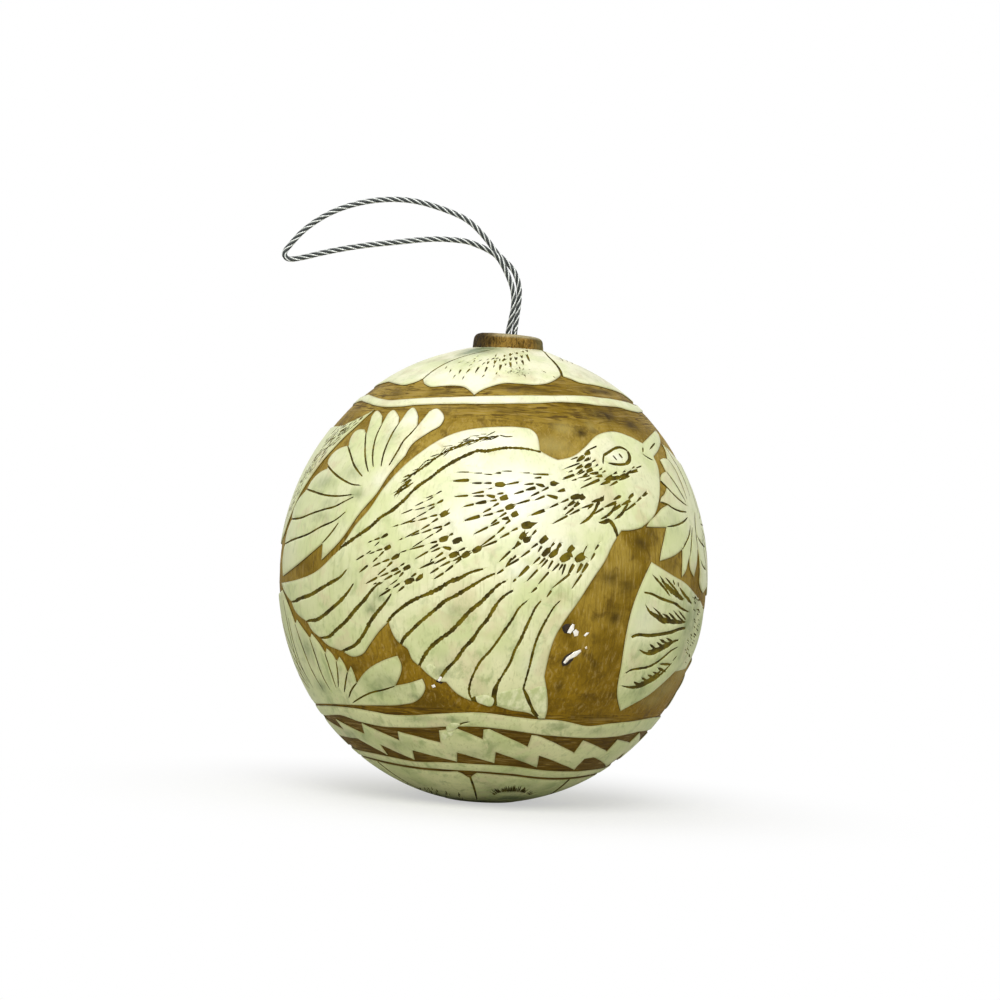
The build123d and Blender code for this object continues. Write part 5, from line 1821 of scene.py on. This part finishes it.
for vertex in stopper.data.vertices:
    place = vertex.co
    reach = place.xy.length
    if reach > 0.003 and place.z > 0.0838:
        turn = math.atan2(place.y, place.x)
        rough = noise.noise(Vector((math.cos(turn) * 9, math.sin(turn) * 9, place.z * 500))) * 0.00007
        facet = noise.noise(Vector((math.cos(turn) * 1.6, math.sin(turn) * 1.6, 2))) * 0.00018
        size = (reach + rough + min(facet, 0.0)) / reach
        place.x *= size
        place.y *= size
        place.z = min(place.z, (STOPPER_TOP + STOPPER_RISE) * MM) - abs(noise.noise(place * 350)) * 0.00006
        place.z -= max(0.0, place.z - 0.0845) / 0.0022 * place.x * 0.03
stopper.data.materials.clear()
stopper.data.materials.append(stopper_wood)
smoothed(stopper, 60)
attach(stopper, "gourd")
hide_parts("stopper")
print("stopper faces", len(stopper.data.polygons))

# %% [markdown]
# The glue between peg and wall can't be seen from outside, so the plain CAD piece stays and
# only gets a colour.

# %% Dried glue
glue, shader, here = new_material("dried_glue", Roughness=0.45)
drops = here.grain(900, 3)
tone = drops.between(0.35, 0.65).tint(paint(196, 178, 128), paint(220, 206, 164))
finish_paint(here, shader, tone, drops, 0.0002)
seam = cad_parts["glue_seam"]
for place in seam.material_slots:
    place.material = glue
print("glue seam has", [place.material.name for place in seam.material_slots])

# %% [markdown]
# ## Twisted cord
# The cord is three dark plies twisted together, with a thin silver thread in each groove
# between them. Each one is a thin tube whose middle runs round the cord's own line. The
# line's frame is carried along without twisting, so that they turn evenly even round the
# sharp fold.

# %% Cord materials
plies = []
for name, first_tone, second_tone, metal in (("dark_thread", (18, 23, 24), (42, 50, 48), 0.05),
                                             ("silver_thread", (236, 238, 234), (178, 184, 178), 0.5)):
    thread, shader, here = new_material(name, Metallic=metal)
    wound = here.grain(5200, 3, 0.6)
    tone = wound.between(0.36, 0.64).tint(paint(*first_tone), paint(*second_tone))
    here.join(wound * 0.3 + 0.28, shader.inputs["Roughness"])
    finish_paint(here, shader, tone, wound, 0.0001, 0.7)
    plies.append(thread)
print("threads", [thread.name for thread in plies])


# %% Plies round a line
def carried_frames(line):
    """Two side directions at each point, carried along the line without twist."""
    run = np.gradient(line, axis=0)
    run /= np.linalg.norm(run, axis=1)[:, None]
    side = np.cross(run[0], (0.0, 1.0, 0.0))
    side /= np.linalg.norm(side)
    sides = []
    for direction in run:
        side = side - direction * (side @ direction)
        side /= np.linalg.norm(side)
        sides.append(side)
    sides = np.array(sides)
    return sides, np.cross(run, sides)


CORD_RADIUS = 0.5
CORD_PITCH = 5.4


def twisted(name, line, radius=CORD_RADIUS * MM, pitch=CORD_PITCH * MM, around=9):
    """The twisted cord along a line, as one mesh of closed tubes in two materials."""
    sides, ups = carried_frames(line)
    reach = np.concatenate([[0], np.cumsum(np.linalg.norm(np.diff(line, axis=0), axis=1))])
    vertices, faces, kinds = [], [], []
    for number in range(6):
        silver = number % 2
        ply = radius * (0.29 if silver else 0.52)
        angle = (reach / pitch + number / 6) * 2 * math.pi
        middle = line + (sides * np.cos(angle)[:, None] + ups * np.sin(angle)[:,
                                                                              None]) * (radius - ply) * 1.04
        ply_sides, ply_ups = carried_frames(middle)
        start = len(vertices)
        for place, a, b in zip(middle, ply_sides, ply_ups):
            for step in range(around):
                turn = 2 * math.pi * step / around
                vertices.append(tuple(place + (a * math.cos(turn) + b * math.sin(turn)) * ply))
        rings = len(middle)
        for ring in range(rings - 1):
            for step in range(around):
                a, b = start + ring * around + step, start + ring * around + (step + 1) % around
                faces.append((a, b, b + around, a + around))
        faces.append(tuple(start + step for step in reversed(range(around))))
        faces.append(tuple(start + (rings - 1) * around + step for step in range(around)))
        kinds += [silver] * (len(faces) - len(kinds))
    mesh = bpy.data.meshes.new(name)
    mesh.from_pydata(vertices, [], faces)
    for thread in plies:
        mesh.materials.append(thread)
    mesh.polygons.foreach_set("material_index", kinds)
    shape = bmesh.new()
    shape.from_mesh(mesh)
    bmesh.ops.recalc_face_normals(shape, faces=shape.faces)
    shape.to_mesh(mesh)
    shape.free()
    piece = bpy.data.objects.new(name, mesh)
    bpy.context.collection.objects.link(piece)
    smoothed(piece, 50)
    return piece


# %% [markdown]
# The loop's first stretch stands in the stopper's mouth, and the loop is one mesh from there
# round the fold and back.

# %% Hanging loop
loop = twisted("loop_strands", loop_line)
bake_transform(loop)
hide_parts("hanging_loop")
print("loop faces", len(loop.data.polygons))

# %% [markdown]
# ## Legs and knot
# The two legs run down through the bore. Inside the gourd they meet in an overhand knot,
# which is a closed three-leaved curve, and its two cut ends point down.

# %% Legs and knot
legs = []
for number, x in enumerate((BORE - 0.6, BORE + 0.6)):
    line, _ = resample(np.array([(x * MM, 0, 77.4 * MM), (x * MM, 0, (HINGE + 0.25) * MM)]), STRAND_STEP)
    legs.append(twisted(f"leg_strands_{number + 1}", line))
    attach(legs[-1], "swivel")
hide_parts("cord_legs")
knot_points = []
for number in range(25):
    turn = 2 * math.pi * number / 24
    x = (math.sin(turn) + 2 * math.sin(2 * turn)) * 0.62
    y = (math.cos(turn) - 2 * math.cos(2 * turn)) * 0.62
    z = -math.sin(3 * turn) * 0.75
    knot_points.append(((x + BORE) * MM, y * MM, (z + 75.4) * MM))
knot_line, _ = resample(smooth_line("knot_route", knot_points), 0.0003)
knot = twisted("knot_strands", knot_line)
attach(knot, "swivel")
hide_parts("cord_knot")
for side in (-1, 1):
    tail = [((BORE + side * 0.9) * MM, 0, 75.2 * MM), ((BORE + side * 1.3) * MM, 0, 71 * MM),
            ((BORE + side * 2.3) * MM, 0, 67.4 * MM)]
    line, _ = resample(smooth_line("tail_route", tail), 0.0003)
    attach(twisted(f"knot_tail_{'left' if side < 0 else 'right'}", line), "swivel")
print("legs", len(legs))
